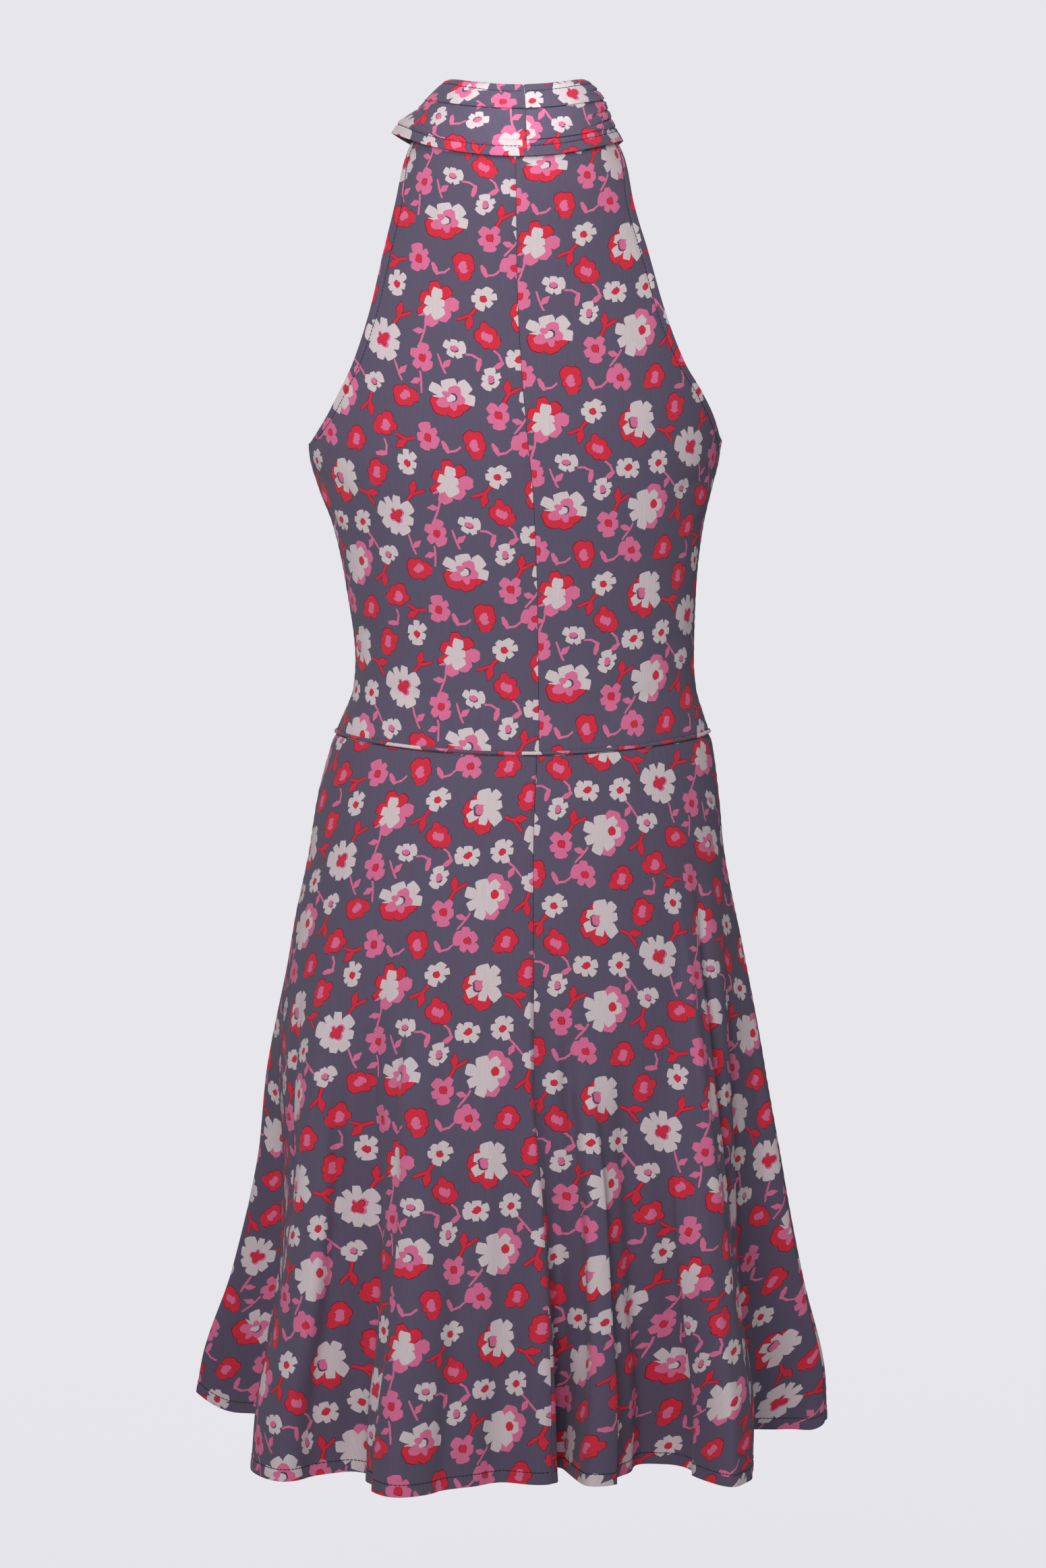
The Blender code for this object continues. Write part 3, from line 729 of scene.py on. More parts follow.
@dataclass
class CutPiece:
    """One cut piece of the bodice or skirt: a grid of angles and levels on the form, and its edges."""

    node: str
    angles: Array
    levels: Array
    first_edge: EdgeKind
    last_edge: EdgeKind
    top_edge: EdgeKind
    low_edge: EdgeKind
    grain_column: int
    fan_radius: float
    print_start: tuple[float, float]
    flat: tuple[float, float]
    area: float
    hangs_from: str
    armholes: bool = False
    base: Array = field(init=False)
    out: Array = field(init=False)
    outer: Array = field(init=False)
    thickness: Array = field(init=False)
    cloth_thickness: float = 0.9
    turning_thickness: float = 0.7
    underarm_blend: float = 4.0

    def shape(self, form: DressForm, creases: CreaseSet, sewing: Stitching) -> None:
        """Works out the outer points, with creases, seams and turnings.

        Args:
            form: the dress's form.
            creases: hand-placed creases.
            sewing: sizes of the seams and turnings.
        """
        self.base = form.body(self.angles, self.levels)
        self.out = form.normals(form.body, self.angles, self.levels, -form.level_step)
        along, down = lengths_over(self.base)
        lift = creases.lift(form, self.angles, self.levels)
        self.thickness = np.full(along.shape, self.cloth_thickness)
        for kind, distance in ((self.first_edge, along), (self.last_edge, along[:, -1:] - along)):
            if self.armholes and kind is EdgeKind.TURNED:
                side = ease((self.levels - form.underarm) / self.underarm_blend + 0.5)
                lift += side * sewing.turned_relief(distance, down, sewing.armhole_turning)
                lift += (1.0 - side) * sewing.seam_relief(distance, down)
                self.thickness += side * self.turning_thickness * ease(sewing.armhole_turning - distance)
            elif kind is EdgeKind.SEAM:
                lift += sewing.seam_relief(distance, down)
        from_low = down[-1:, :] - down
        for kind, distance in ((self.top_edge, down), (self.low_edge, from_low)):
            if kind is EdgeKind.SEAM:
                lift += sewing.seam_relief(distance, along)
        if self.low_edge is EdgeKind.TURNED:
            lift += sewing.turned_relief(from_low, along, sewing.hem_turning)
            self.thickness += self.turning_thickness * ease(sewing.hem_turning - from_low)
        self.outer = self.base + self.out * lift[..., None]

    def flat_cut(self) -> Array:
        """Lays the piece flat: straight grain on the bodice, and a fan on the flared skirt.

        Returns:
            Places on the printed cloth, in millimetres.
        """
        along, down = lengths_over(self.base)
        side = along - along[:, self.grain_column][:, None]
        u, v = side, -(down[:, self.grain_column][:, None] + 0.0 * side)
        if self.fan_radius > 0.0:
            radius = self.fan_radius - v
            u, v = radius * np.sin(side / radius), -radius * np.cos(side / radius)
        return np.stack([u + self.print_start[0], v + self.print_start[1]], axis=-1)

    def dress(self, outside: Material, inside: Material) -> None:
        """Makes the piece and says what it stands for.

        Args:
            outside: printed side.
            inside: wrong side.
        """
        inner = self.outer - ClothMesh.grid_normals(self.outer) * self.thickness[..., None]
        piece = ClothMesh(self.outer, inner, self.flat_cut()).build(f"{self.node}_cloth", outside, inside)
        stand_for(piece, self.node)

    def turned_lines(self, form: DressForm, sewing: Stitching) -> tuple[list[Line], list[Line]]:
        """Finds where the turnings of the armholes and of the hem are stitched.

        Args:
            form: the dress's form.
            sewing: sizes of the turnings.

        Returns:
            Lines at the armholes, and lines at the hem.
        """
        along, down = lengths_over(self.base)
        armholes, hems = [], []
        if self.armholes and self.first_edge is EdgeKind.TURNED:
            keep = self.levels[:, 0] > form.underarm + self.underarm_blend
            armholes.append(line_at(self.outer[keep], self.out[keep], along[keep], sewing.armhole_turning))
        if self.armholes and self.last_edge is EdgeKind.TURNED:
            keep = self.levels[:, -1] > form.underarm + self.underarm_blend
            grids = (grid[keep][:, ::-1] for grid in (self.outer, self.out, along[:, -1:] - along))
            armholes.append(line_at(*grids, sewing.armhole_turning))
        if self.low_edge is EdgeKind.TURNED:
            hems.append(line_at(*upright(self.outer, self.out, down[-1:, :] - down), sewing.hem_turning))
        return armholes, hems


def upright(points: Array, out: Array, distance: Array) -> tuple[Array, Array, Array]:
    """Turns a grid so that its rows run up from the lower edge, one for each of its columns."""
    return points[::-1].transpose(1, 0, 2), out[::-1].transpose(1, 0, 2), distance[::-1].T


def line_at(outer: Array, out: Array, distance: Array, wanted: float) -> Line:
    """Finds the line on a grid that lies a set distance from one of its edges.

    Args:
        outer: grid of points, rows leading away from the edge.
        out: directions out of the cloth.
        distance: distance of each point from the edge, rising along each row.
        wanted: the distance to find.

    Returns:
        The line's points and the directions out of the cloth there.
    """
    rows = [row for row in range(len(outer)) if distance[row].max() >= wanted]
    points, ups = (
        np.array([[np.interp(wanted, distance[row], grid[row, :, axis]) for axis in range(3)] for row in rows])
        for grid in (outer, out)
    )
    return points, ups


# The collar


@dataclass(frozen=True)
class CollarForm:
    """The standing neck band: pleated over itself, with a pointed wing at -X and gathers at +X."""

    form: DressForm
    seam_angle: float = 5.0
    seam_half_gap: float = 0.12
    columns: int = 340
    plain_rows: int = 84
    dense_rows: int = 16
    dense_above: float = 0.012
    dense_below: float = 0.03
    level_step: float = 0.0005
    levels: tuple[CollarLevel, ...] = table(
        CollarLevel,
        (0, 50, 48.5, 45.5, 46), (0.04, 54.5, 52.5, 47.8, 48.5), (0.11, 58.5, 55.8, 50.2, 51),
        (0.25, 64.5, 60, 55, 56), (0.5, 73.5, 65.5, 62, 62), (0.75, 83, 70.5, 69, 67.5), (1, 82, 77, 74, 72),
    )
    tucks: tuple[Tuck, ...] = table(Tuck, (0.335, -3, 95, 2.6), (0.775, 24, 40, 2.2), (0.335, 183, 85, 2.2))
    gathers: tuple[Gather, ...] = table(
        Gather,
        (0.16, 0.20, 50, 2), (0.30, 0.40, 40, 2.7), (0.45, 0.60, 34, 2.4), (0.60, 0.74, 30, 2.1),
        (0.76, 0.84, 46, 1.4), (0.42, 0.60, -36, 1.6, -112), (0.60, 0.80, -28, 1.3, -112),
    )
    gather_width: float = 0.036
    gather_swell: float = 0.42
    gather_slit: float = 1.7
    gather_side_end: float = 0.45
    gather_inner_end: float = 0.5
    tuck_rise: float = 0.24
    tuck_drop: float = 0.006
    tuck_gap: float = 0.015
    tuck_foot: float = 0.5
    tuck_recovers: float = 0.2
    tuck_fullness: float = 0.35
    wing_angle: float = -86.0
    wing_half_angle: float = 36.0
    wing_starts: float = 0.42
    wing_reach: float = 10.8
    wing_rise: float = 5.6
    wing_sharpness: float = 1.5
    thickness: float = 1.1
    relief_share: float = 0.8
    fan_radius: float = 118.0
    print_start: tuple[float, float] = (31.0, 40.0)

    def tuck_lift(self, tuck: Tuck, degrees: Array, level: Array) -> Array:
        """One pleat's lift: it rises to its edge, and a narrow gap parts the edge from the cloth below.

        Args:
            tuck: the pleat.
            degrees: angles.
            level: levels on the collar.

        Returns:
            Lift in millimetres.
        """
        past = level - tuck.level
        rise = np.clip(1.0 + past / self.tuck_rise, 0.0, 1.0) ** 2
        foot = ease((past - self.tuck_gap) / self.tuck_drop) * ease(1.0 - past / self.tuck_recovers)
        below = ease(1.0 - past / self.tuck_drop) + self.tuck_foot * foot
        spread = bump(turned(degrees, tuck.middle_angle) / tuck.half_angle) ** self.tuck_fullness
        return tuck.depth * spread * np.where(past < 0.0, rise, below)

    def gather_lift(self, degrees: Array, level: Array) -> Array:
        """Height of the bunched ridges, with a slit between each two.

        Args:
            degrees: angles.
            level: levels on the collar.

        Returns:
            Lift in millimetres.
        """
        total = np.zeros(level.shape)
        for gather in self.gathers:
            share = (gather.side_angle - turned(degrees, 0.0)) / (gather.side_angle - gather.inner_angle)
            line = gather.side_level + (gather.inner_level - gather.side_level) * np.clip(share, 0.0, 1.0)
            ends = ease(share / self.gather_side_end) * ease((1.0 - share) / self.gather_inner_end)
            away = (level - line) / self.gather_width
            total += gather.depth * ends * (hill(self.gather_swell * away) - hill(self.gather_slit * away))
        return total

    def surface(self, degrees: Array, level: Array, pleated: bool = True) -> Array:
        """Surface of the collar: level 0 is its top edge and 1 its lower edge.

        Args:
            degrees: angles.
            level: levels on the collar.
            pleated: False for the smooth lining side.

        Returns:
            Points in millimetres.
        """
        degrees, level = np.broadcast_arrays(np.asarray(degrees, dtype=float), np.asarray(level, dtype=float))
        angle = np.radians(degrees)
        lift = np.zeros(level.shape)
        for tuck in self.tucks if pleated else ():
            lift += self.tuck_lift(tuck, degrees, level)
        wing = np.clip(1.0 - np.abs(turned(degrees, self.wing_angle)) / self.wing_half_angle, 0.0, 1.0)
        point = wing * np.clip((level - self.wing_starts) / (1.0 - self.wing_starts), 0.0, 1.0)
        point **= self.wing_sharpness
        lift += self.wing_reach * point + self.gather_lift(degrees, level)
        left, right, back, front = (
            column_of(self.levels, "level", name, level) for name in ("left", "right", "back", "front"))
        reach = np.where(np.sin(angle) > 0.0, right, left)
        depth = np.where(np.cos(angle) > 0.0, back, front)
        top = self.form.collar_top - self.form.collar_top_dip * np.cos(angle) ** 2
        z = top + (self.form.collar_low(degrees) - top) * level + self.wing_rise * point
        return np.stack([(reach + lift) * np.sin(angle), -(depth + lift) * np.cos(angle), z], axis=-1)

    def rows(self) -> Array:
        """Levels of the grid, closer together round the pleats' edges.

        Returns:
            Levels from 0 to 1, one in each row.
        """
        dense = [
            np.linspace(tuck.level - self.dense_above, tuck.level + self.dense_below, self.dense_rows)
            for tuck in self.tucks[:2]
        ]
        plain = np.linspace(0.0, 1.0, self.plain_rows)
        return np.unique(np.round(np.concatenate([plain, *dense]), 4))[:, None]

    def build(self, sewing: Stitching, outside: Material, inside: Material) -> list[Line]:
        """Makes the collar as one band that meets itself at the centre back.

        Args:
            sewing: sizes of the seams and turnings.
            outside: printed side.
            inside: wrong side.

        Returns:
            The two lines where its turnings are stitched.
        """
        first = self.seam_angle + self.seam_half_gap
        last = self.seam_angle + FULL_TURN - self.seam_half_gap
        degrees, levels = np.broadcast_arrays(np.linspace(first, last, self.columns)[None, :], self.rows())
        base = self.surface(degrees, levels)
        along, down = lengths_over(base)
        from_low = down[-1:, :] - down
        relief = sewing.turned_relief(down, along, sewing.collar_top_turning)
        relief += sewing.turned_relief(from_low, along, sewing.collar_low_turning)
        relief += sewing.seam_relief(along, down) + sewing.seam_relief(along[:, -1:] - along, down)
        out = self.form.normals(self.surface, degrees, levels, self.level_step)
        outer = base + self.relief_share * out * relief[..., None]
        lining = self.surface(degrees, levels, pleated=False)
        inner = lining - self.thickness * ClothMesh.grid_normals(lining)
        radius = self.fan_radius + down
        middle = along[len(along) // 2]
        turn = middle / middle[-1] * float(np.mean(along[:, -1] / radius[:, -1]))
        u, v = self.print_start
        flat = np.stack([radius * np.sin(turn) + u, v - radius * np.cos(turn)], axis=-1)
        piece = ClothMesh(outer, inner, flat).build("collar_band", outside, inside)
        stand_for(piece, "collar")
        points, ups = outer.transpose(1, 0, 2), out.transpose(1, 0, 2)
        return [
            line_at(points, ups, down.T, sewing.collar_top_turning),
            line_at(points[:, ::-1], ups[:, ::-1], from_low[::-1].T, sewing.collar_low_turning),
        ]


# Print


class Style(Enum):
    """Motifs of the print."""

    WHITE_OVER_PINK = 1
    TWO_TONE_BLOOM = 2
    TOPPED_BLOOM = 3
    WHITE_OVER_RED = 4
    WHITE_BLOOM = 5
    RED_FLOWER = 6
    PINK_FLOWER = 7
    WHITE_RED_EYE = 8
    WHITE_PINK_EYE = 9
    RED_SPRIG = 10
    PINK_SPRIG = 11
    PINK_CURL = 12


@dataclass(frozen=True)
class InkSet:
    """Colours of the print."""

    ground: Colour = srgb(106, 96, 120)
    white: Colour = srgb(238, 223, 226)
    pink: Colour = srgb(245, 126, 170)
    red: Colour = srgb(238, 52, 75)
    dark_red: Colour = srgb(150, 36, 58)
    shade: Colour = srgb(106, 78, 102)


@dataclass(frozen=True)
class Petals:
    """One layer of a flower cut like paper, in a motif whose half width is 1.

    A side, where it is given, keeps only the half of the layer that lies that way from the middle.
    """

    ink: str
    radius: float
    count: int
    notch: float
    notch_width: float = 0.55
    warp: float = 0.08
    ragged: float = 0.05
    x: float = 0.0
    y: float = 0.0
    side_x: float = 0.0
    side_y: float = 0.0
    side_shift: float = 0.0


@dataclass(frozen=True)
class Stroke:
    """One stem or leaf of a sprig: from one point to another, with a half width, swelling to a leaf."""

    ink: str
    x: float
    y: float
    end_x: float
    end_y: float
    width: float
    leaf: float = 0.0


@dataclass(frozen=True)
class MotifKind:
    """How many of one motif a repeat holds, and its half width."""

    style: Style
    count: int
    radius: float


@dataclass(frozen=True)
class Motif:
    """One placed motif of the repeat."""

    style: Style
    x: float
    y: float
    radius: float
    turn: float
    variant: float


def rimmed(rim: float, radius: float, *cut: float, shift: float = 0.0, **place: float) -> tuple[Petals, Petals]:
    """Red petals over slightly larger dark ones.

    Args:
        rim: radius of the dark layer.
        radius: radius of the red layer.
        cut: count, notch, notch width, warp and raggedness of both.
        shift: how far the dark layer's side reaches past the red one's.
        place: middle and side of both.

    Returns:
        The two layers.
    """
    return Petals("dark_red", rim, *cut, side_shift=shift, **place), Petals("red", radius, *cut, **place)


MOTIF_LAYERS: dict[Style, tuple[Petals | Stroke, ...]] = {
    Style.WHITE_OVER_PINK: (
        Petals("pink", 0.90, 6, 0.34, 0.6, 0.10, 0.14, x=-0.16, y=0.05),
        Petals("white", 0.86, 7, 0.40, 0.5, 0.11, 0.13, x=0.20, y=-0.04),
        Petals("red", 0.18, 9, 0.0, x=-0.24, y=0.04),
    ),
    Style.TWO_TONE_BLOOM: (
        Petals("pink", 0.95, 7, 0.34, 0.6, 0.11, 0.12),
        *rimmed(0.99, 0.94, 7, 0.34, 0.6, 0.11, 0.12, shift=0.03, side_x=0.8, side_y=-0.5),
        Petals("white", 0.64, 5, 0.50, 0.55, 0.13, 0.18, x=0.07, y=0.06),
    ),
    Style.TOPPED_BLOOM: (
        *rimmed(0.96, 0.91, 5, 0.26, 0.6, 0.09, 0.10, shift=0.02, y=-0.04, side_y=-1.0),
        Petals("white", 0.98, 7, 0.44, 0.45, 0.12, 0.13, side_x=0.06, side_y=1.0, side_shift=0.10),
        Petals("pink", 0.64, 5, 0.50, 0.8, 0.10, 0.18, y=-0.02),
        Petals("shade", 0.22, 5, 0.2, 0.5, 0.10, 0.1, x=0.05, y=0.03),
        Petals("white", 0.18, 5, 0.2, 0.5, 0.15, 0.2),
    ),
    Style.WHITE_OVER_RED: (
        *rimmed(0.90, 0.86, 5, 0.34, 0.6, 0.10, 0.14, x=-0.15, y=-0.12),
        Petals("white", 0.82, 7, 0.42, 0.5, 0.12, 0.14, x=0.17, y=0.09),
        Petals("shade", 0.30, 4, 0.2, 0.6, 0.15, 0.2, x=-0.15, y=-0.02),
        Petals("pink", 0.26, 4, 0.2, 0.6, 0.15, 0.2, x=-0.10, y=0.01),
    ),
    Style.WHITE_BLOOM: (
        Petals("white", 1.0, 8, 0.36, 0.5, 0.11, 0.12),
        Petals("pink", 0.56, 4, 0.58, 0.75, 0.10, 0.16),
        *rimmed(0.47, 0.42, 4, 0.62, 0.9, 0.15, 0.20, x=0.02, y=-0.02),
    ),
    Style.RED_FLOWER: (
        *rimmed(1.07, 0.99, 5, 0.36, 0.7, 0.13, 0.13),
        Petals("pink", 0.44, 4, 0.34, 0.7, 0.20, 0.30, x=0.04, y=-0.03),
    ),
    Style.PINK_FLOWER: (
        Petals("pink", 1.10, 5, 0.46, 0.6, 0.13, 0.16),
        *rimmed(0.52, 0.46, 3, 0.46, 0.7, 0.15, 0.20, x=0.03),
    ),
    Style.WHITE_RED_EYE: (
        Petals("white", 1.06, 6, 0.46, 0.5, 0.15, 0.16),
        *rimmed(0.54, 0.49, 3, 0.50, 0.7, 0.15, 0.18, x=0.05, y=0.03),
    ),
    Style.WHITE_PINK_EYE: (
        Petals("white", 1.04, 5, 0.44, 0.5, 0.14, 0.16),
        Petals("shade", 0.44, 4, 0.4, 0.7, 0.15, 0.20, x=-0.06, y=-0.03),
        Petals("pink", 0.40, 4, 0.4, 0.7, 0.15, 0.20, x=0.02),
    ),
    Style.RED_SPRIG: (
        Stroke("dark_red", -0.96, 0.02, -0.10, 0.0, 0.155),
        Stroke("dark_red", -0.12, 0.0, 0.72, -0.52, 0.155, leaf=0.25),
        Stroke("dark_red", -0.12, 0.05, 0.74, 0.44, 0.35, leaf=0.72),
        Stroke("red", -0.96, 0.02, -0.10, 0.0, 0.105),
        Stroke("red", -0.12, 0.0, 0.70, -0.51, 0.105, leaf=0.25),
        Stroke("red", -0.08, 0.07, 0.70, 0.42, 0.29, leaf=0.72),
    ),
    Style.PINK_SPRIG: (
        Stroke("pink", -0.96, -0.10, -0.22, 0.12, 0.085),
        Stroke("pink", -0.22, 0.12, 0.88, 0.26, 0.09, leaf=0.2),
        Stroke("pink", -0.18, 0.10, 0.30, -0.66, 0.27, leaf=0.75),
    ),
    Style.PINK_CURL: (
        Stroke("pink", -0.96, -0.05, -0.28, 0.30, 0.08),
        Stroke("pink", -0.28, 0.30, 0.36, 0.28, 0.09),
        Stroke("pink", 0.36, 0.28, 0.56, -0.48, 0.22, leaf=0.35),
    ),
}


@dataclass(frozen=True)
class PrintRepeat:
    """The print's repeat: a scattered layout of its own, worked out by rule from one seed.

    Flowers spread out from each other, and then each sprig grows from the flower with the most room beside it.
    """

    width: float = 158.0
    height: float = 127.0
    seed: int = 11
    flowers: tuple[MotifKind, ...] = (
        MotifKind(Style.WHITE_OVER_PINK, 1, 17.6),
        MotifKind(Style.TWO_TONE_BLOOM, 1, 17.4),
        MotifKind(Style.TOPPED_BLOOM, 1, 17.4),
        MotifKind(Style.WHITE_OVER_RED, 1, 17.6),
        MotifKind(Style.WHITE_BLOOM, 1, 15.8),
        MotifKind(Style.RED_FLOWER, 6, 10.6),
        MotifKind(Style.PINK_FLOWER, 4, 10.3),
        MotifKind(Style.WHITE_RED_EYE, 4, 9.3),
        MotifKind(Style.WHITE_PINK_EYE, 3, 8.6),
    )
    sprigs: tuple[MotifKind, ...] = (
        MotifKind(Style.RED_SPRIG, 6, 10.4),
        MotifKind(Style.PINK_SPRIG, 6, 9.0),
        MotifKind(Style.PINK_CURL, 5, 9.2),
    )
    tries: int = 300
    spreading_rounds: int = 320
    push_share: float = 0.2
    room_between: float = 7.2
    directions: int = 36
    host_share: float = 0.92
    sprig_share: float = 0.86
    sprig_room: float = 0.8
    again_cost: float = 5.0
    variant_reach: float = 0.3
    far: float = 1e9

    def wrapped(self, offsets: Array) -> Array:
        """Shortest offsets on cloth that repeats."""
        size = np.array([self.width, self.height])
        return (offsets + size / 2.0) % size - size / 2.0

    def spread(self, kinds: Sequence[MotifKind], chance: np.random.RandomState) -> Array:
        """Places flowers: each new one where there is most room, and then all pushed apart.

        Args:
            kinds: one row for each flower.
            chance: seeded numbers.

        Returns:
            Their places.
        """
        size = np.array([self.width, self.height])
        radii = np.array([kind.radius for kind in kinds])
        places = np.zeros((len(kinds), 2))
        for index in range(len(kinds)):
            tries = chance.uniform(0.0, 1.0, (self.tries, 2)) * size
            best = 0
            if index:
                away = np.linalg.norm(self.wrapped(tries[:, None] - places[None, :index]), axis=-1)
                best = int(np.argmax((away - radii[None, :index] - radii[index]).min(axis=1)))
            places[index] = tries[best]
        for _ in range(self.spreading_rounds):
            offsets = self.wrapped(places[:, None] - places[None])
            away = np.linalg.norm(offsets, axis=-1) + np.eye(len(places)) * 1e6
            overlap = np.maximum(radii[:, None] + radii[None] + self.room_between - away, 0.0)
            places = (places + self.push_share * (offsets / away[..., None] * overlap[..., None]).sum(axis=1)) % size
        return places

    def place(self) -> list[Motif]:
        """Places every motif.

        Returns:
            The motifs, sprigs first so that flowers lie over them.
        """
        chance = np.random.RandomState(self.seed)
        kinds = [kind for kind in self.flowers for _ in range(kind.count)]
        places = self.spread(kinds, chance)
        turns = chance.uniform(0.0, 2.0 * math.pi, len(kinds))
        flowers = [
            Motif(kind.style, float(x), float(y), kind.radius, float(turn), float(chance.uniform(-1.0, 1.0)))
            for kind, (x, y), turn in zip(kinds, places, turns)
        ]
        sprigs: list[Motif] = []
        used = np.zeros(len(flowers))
        stems = [kind for kind in self.sprigs for _ in range(kind.count)]
        for kind in [stems[index] for index in chance.permutation(len(stems))]:
            host, way, reach = self.best_host(kind, flowers, sprigs, used)
            used[host] += 1
            x, y = flowers[host].x + reach * math.cos(way), flowers[host].y + reach * math.sin(way)
            sprigs.append(Motif(kind.style, x, y, kind.radius, -way, float(chance.uniform(-1.0, 1.0))))
        return sprigs + flowers

    def best_host(
        self, kind: MotifKind, flowers: list[Motif], sprigs: list[Motif], used: Array
    ) -> tuple[int, float, float]:
        """Finds the flower and the direction with the most room for a sprig.

        Args:
            kind: the sprig.
            flowers: the placed flowers.
            sprigs: the sprigs placed so far.
            used: how many sprigs each flower has.

        Returns:
            The flower's index, the direction in radians and the distance.
        """
        centres = np.array([[motif.x, motif.y] for motif in flowers + sprigs])
        radii = np.array([motif.radius for motif in flowers + sprigs])
        best, found = -self.far, (0, 0.0, 0.0)
        for host, flower in enumerate(flowers):
            reach = self.host_share * flower.radius + self.sprig_share * kind.radius
            for step in range(self.directions):
                way = 2.0 * math.pi * step / self.directions
                spot = centres[host] + reach * np.array([math.cos(way), math.sin(way)])
                away = np.linalg.norm(self.wrapped(centres - spot), axis=-1) - radii - self.sprig_room * kind.radius
                away[host] = self.far
                room = float(away.min()) - self.again_cost * used[host]
                if room > best:
                    best, found = room, (host, way, reach)
        return found


# Materials


@dataclass
class NodeSheet:
    """Writes shader nodes one after another into a tree and wires them up."""

    tree: Tree

    def fill(self, node: bpy.types.Node, inputs: dict[int | str, object]) -> bpy.types.Node:
        """Wires sockets to a node's inputs, or sets them to plain values.

        Args:
            node: the node.
            inputs: sockets and plain values, by the input's name or place.

        Returns:
            The same node.
        """
        for key, value in inputs.items():
            if isinstance(value, Socket):
                self.tree.links.new(value, node.inputs[key])
            else:
                node.inputs[key].default_value = value
        return node

    def add(self, kind: str, inputs: dict[int | str, object] | None = None, **settings: object) -> bpy.types.Node:
        """Adds one node.

        Args:
            kind: Blender's name of the node.
            inputs: sockets to wire, or plain values for them.
            settings: the node's own settings.

        Returns:
            The node.
        """
        node = self.tree.nodes.new(kind)
        for name, value in settings.items():
            setattr(node, name, value)
        return self.fill(node, inputs or {})

    def number(self, operation: str, *values: object) -> Socket:
        """Adds a sum on numbers."""
        return self.add("ShaderNodeMath", dict(enumerate(values)), operation=operation).outputs[0]

    def vector(self, operation: str, *values: object) -> Socket:
        """Adds a sum on vectors that gives a vector."""
        return self.add("ShaderNodeVectorMath", dict(enumerate(values)), operation=operation).outputs[0]

    def measure(self, operation: str, *values: object) -> Socket:
        """Adds a sum on vectors that gives a number."""
        return self.add("ShaderNodeVectorMath", dict(enumerate(values)), operation=operation).outputs[1]

    def scaled(self, vector: object, by: Socket) -> Socket:
        """Adds the product of a vector and a number."""
        return self.add("ShaderNodeVectorMath", {0: vector, "Scale": by}, operation="SCALE").outputs[0]

    def noise(self, place: Socket, scale: float, detail: float) -> bpy.types.Node:
        """Adds a noise texture."""
        return self.add("ShaderNodeTexNoise", {"Vector": place, "Scale": scale, "Detail": detail})

    def group(self, tree: Tree, inputs: dict[int | str, object]) -> bpy.types.Node:
        """Adds a node group."""
        return self.add("ShaderNodeGroup", inputs, node_tree=tree)

    def give(self, **results: Socket) -> Tree:
        """Wires results to the group's outputs and gives the finished group."""
        self.add("NodeGroupOutput", results)
        return self.tree


def new_group(name: str, inputs: dict[str, str], outputs: dict[str, str]) -> tuple[NodeSheet, object]:
    """Starts a shader node group with named sockets.

    Args:
        name: the group's name.
        inputs: socket names and types.
        outputs: socket names and types.

    Returns:
        The node sheet of the group, and the sockets of what it is given.
    """
    tree = bpy.data.node_groups.new(name, "ShaderNodeTree")
    for way, sockets in (("INPUT", inputs), ("OUTPUT", outputs)):
        for socket, kind in sockets.items():
            tree.interface.new_socket(name=socket, in_out=way, socket_type=kind)
    sheet = NodeSheet(tree)
    return sheet, sheet.add("NodeGroupInput").outputs


def new_material(name: str) -> tuple[Material, NodeSheet]:
    """Starts a material.

    Args:
        name: its name.

    Returns:
        The material, and the node sheet of its tree.
    """
    material = bpy.data.materials.new(name)
    material.use_nodes = True
    return material, NodeSheet(material.node_tree)


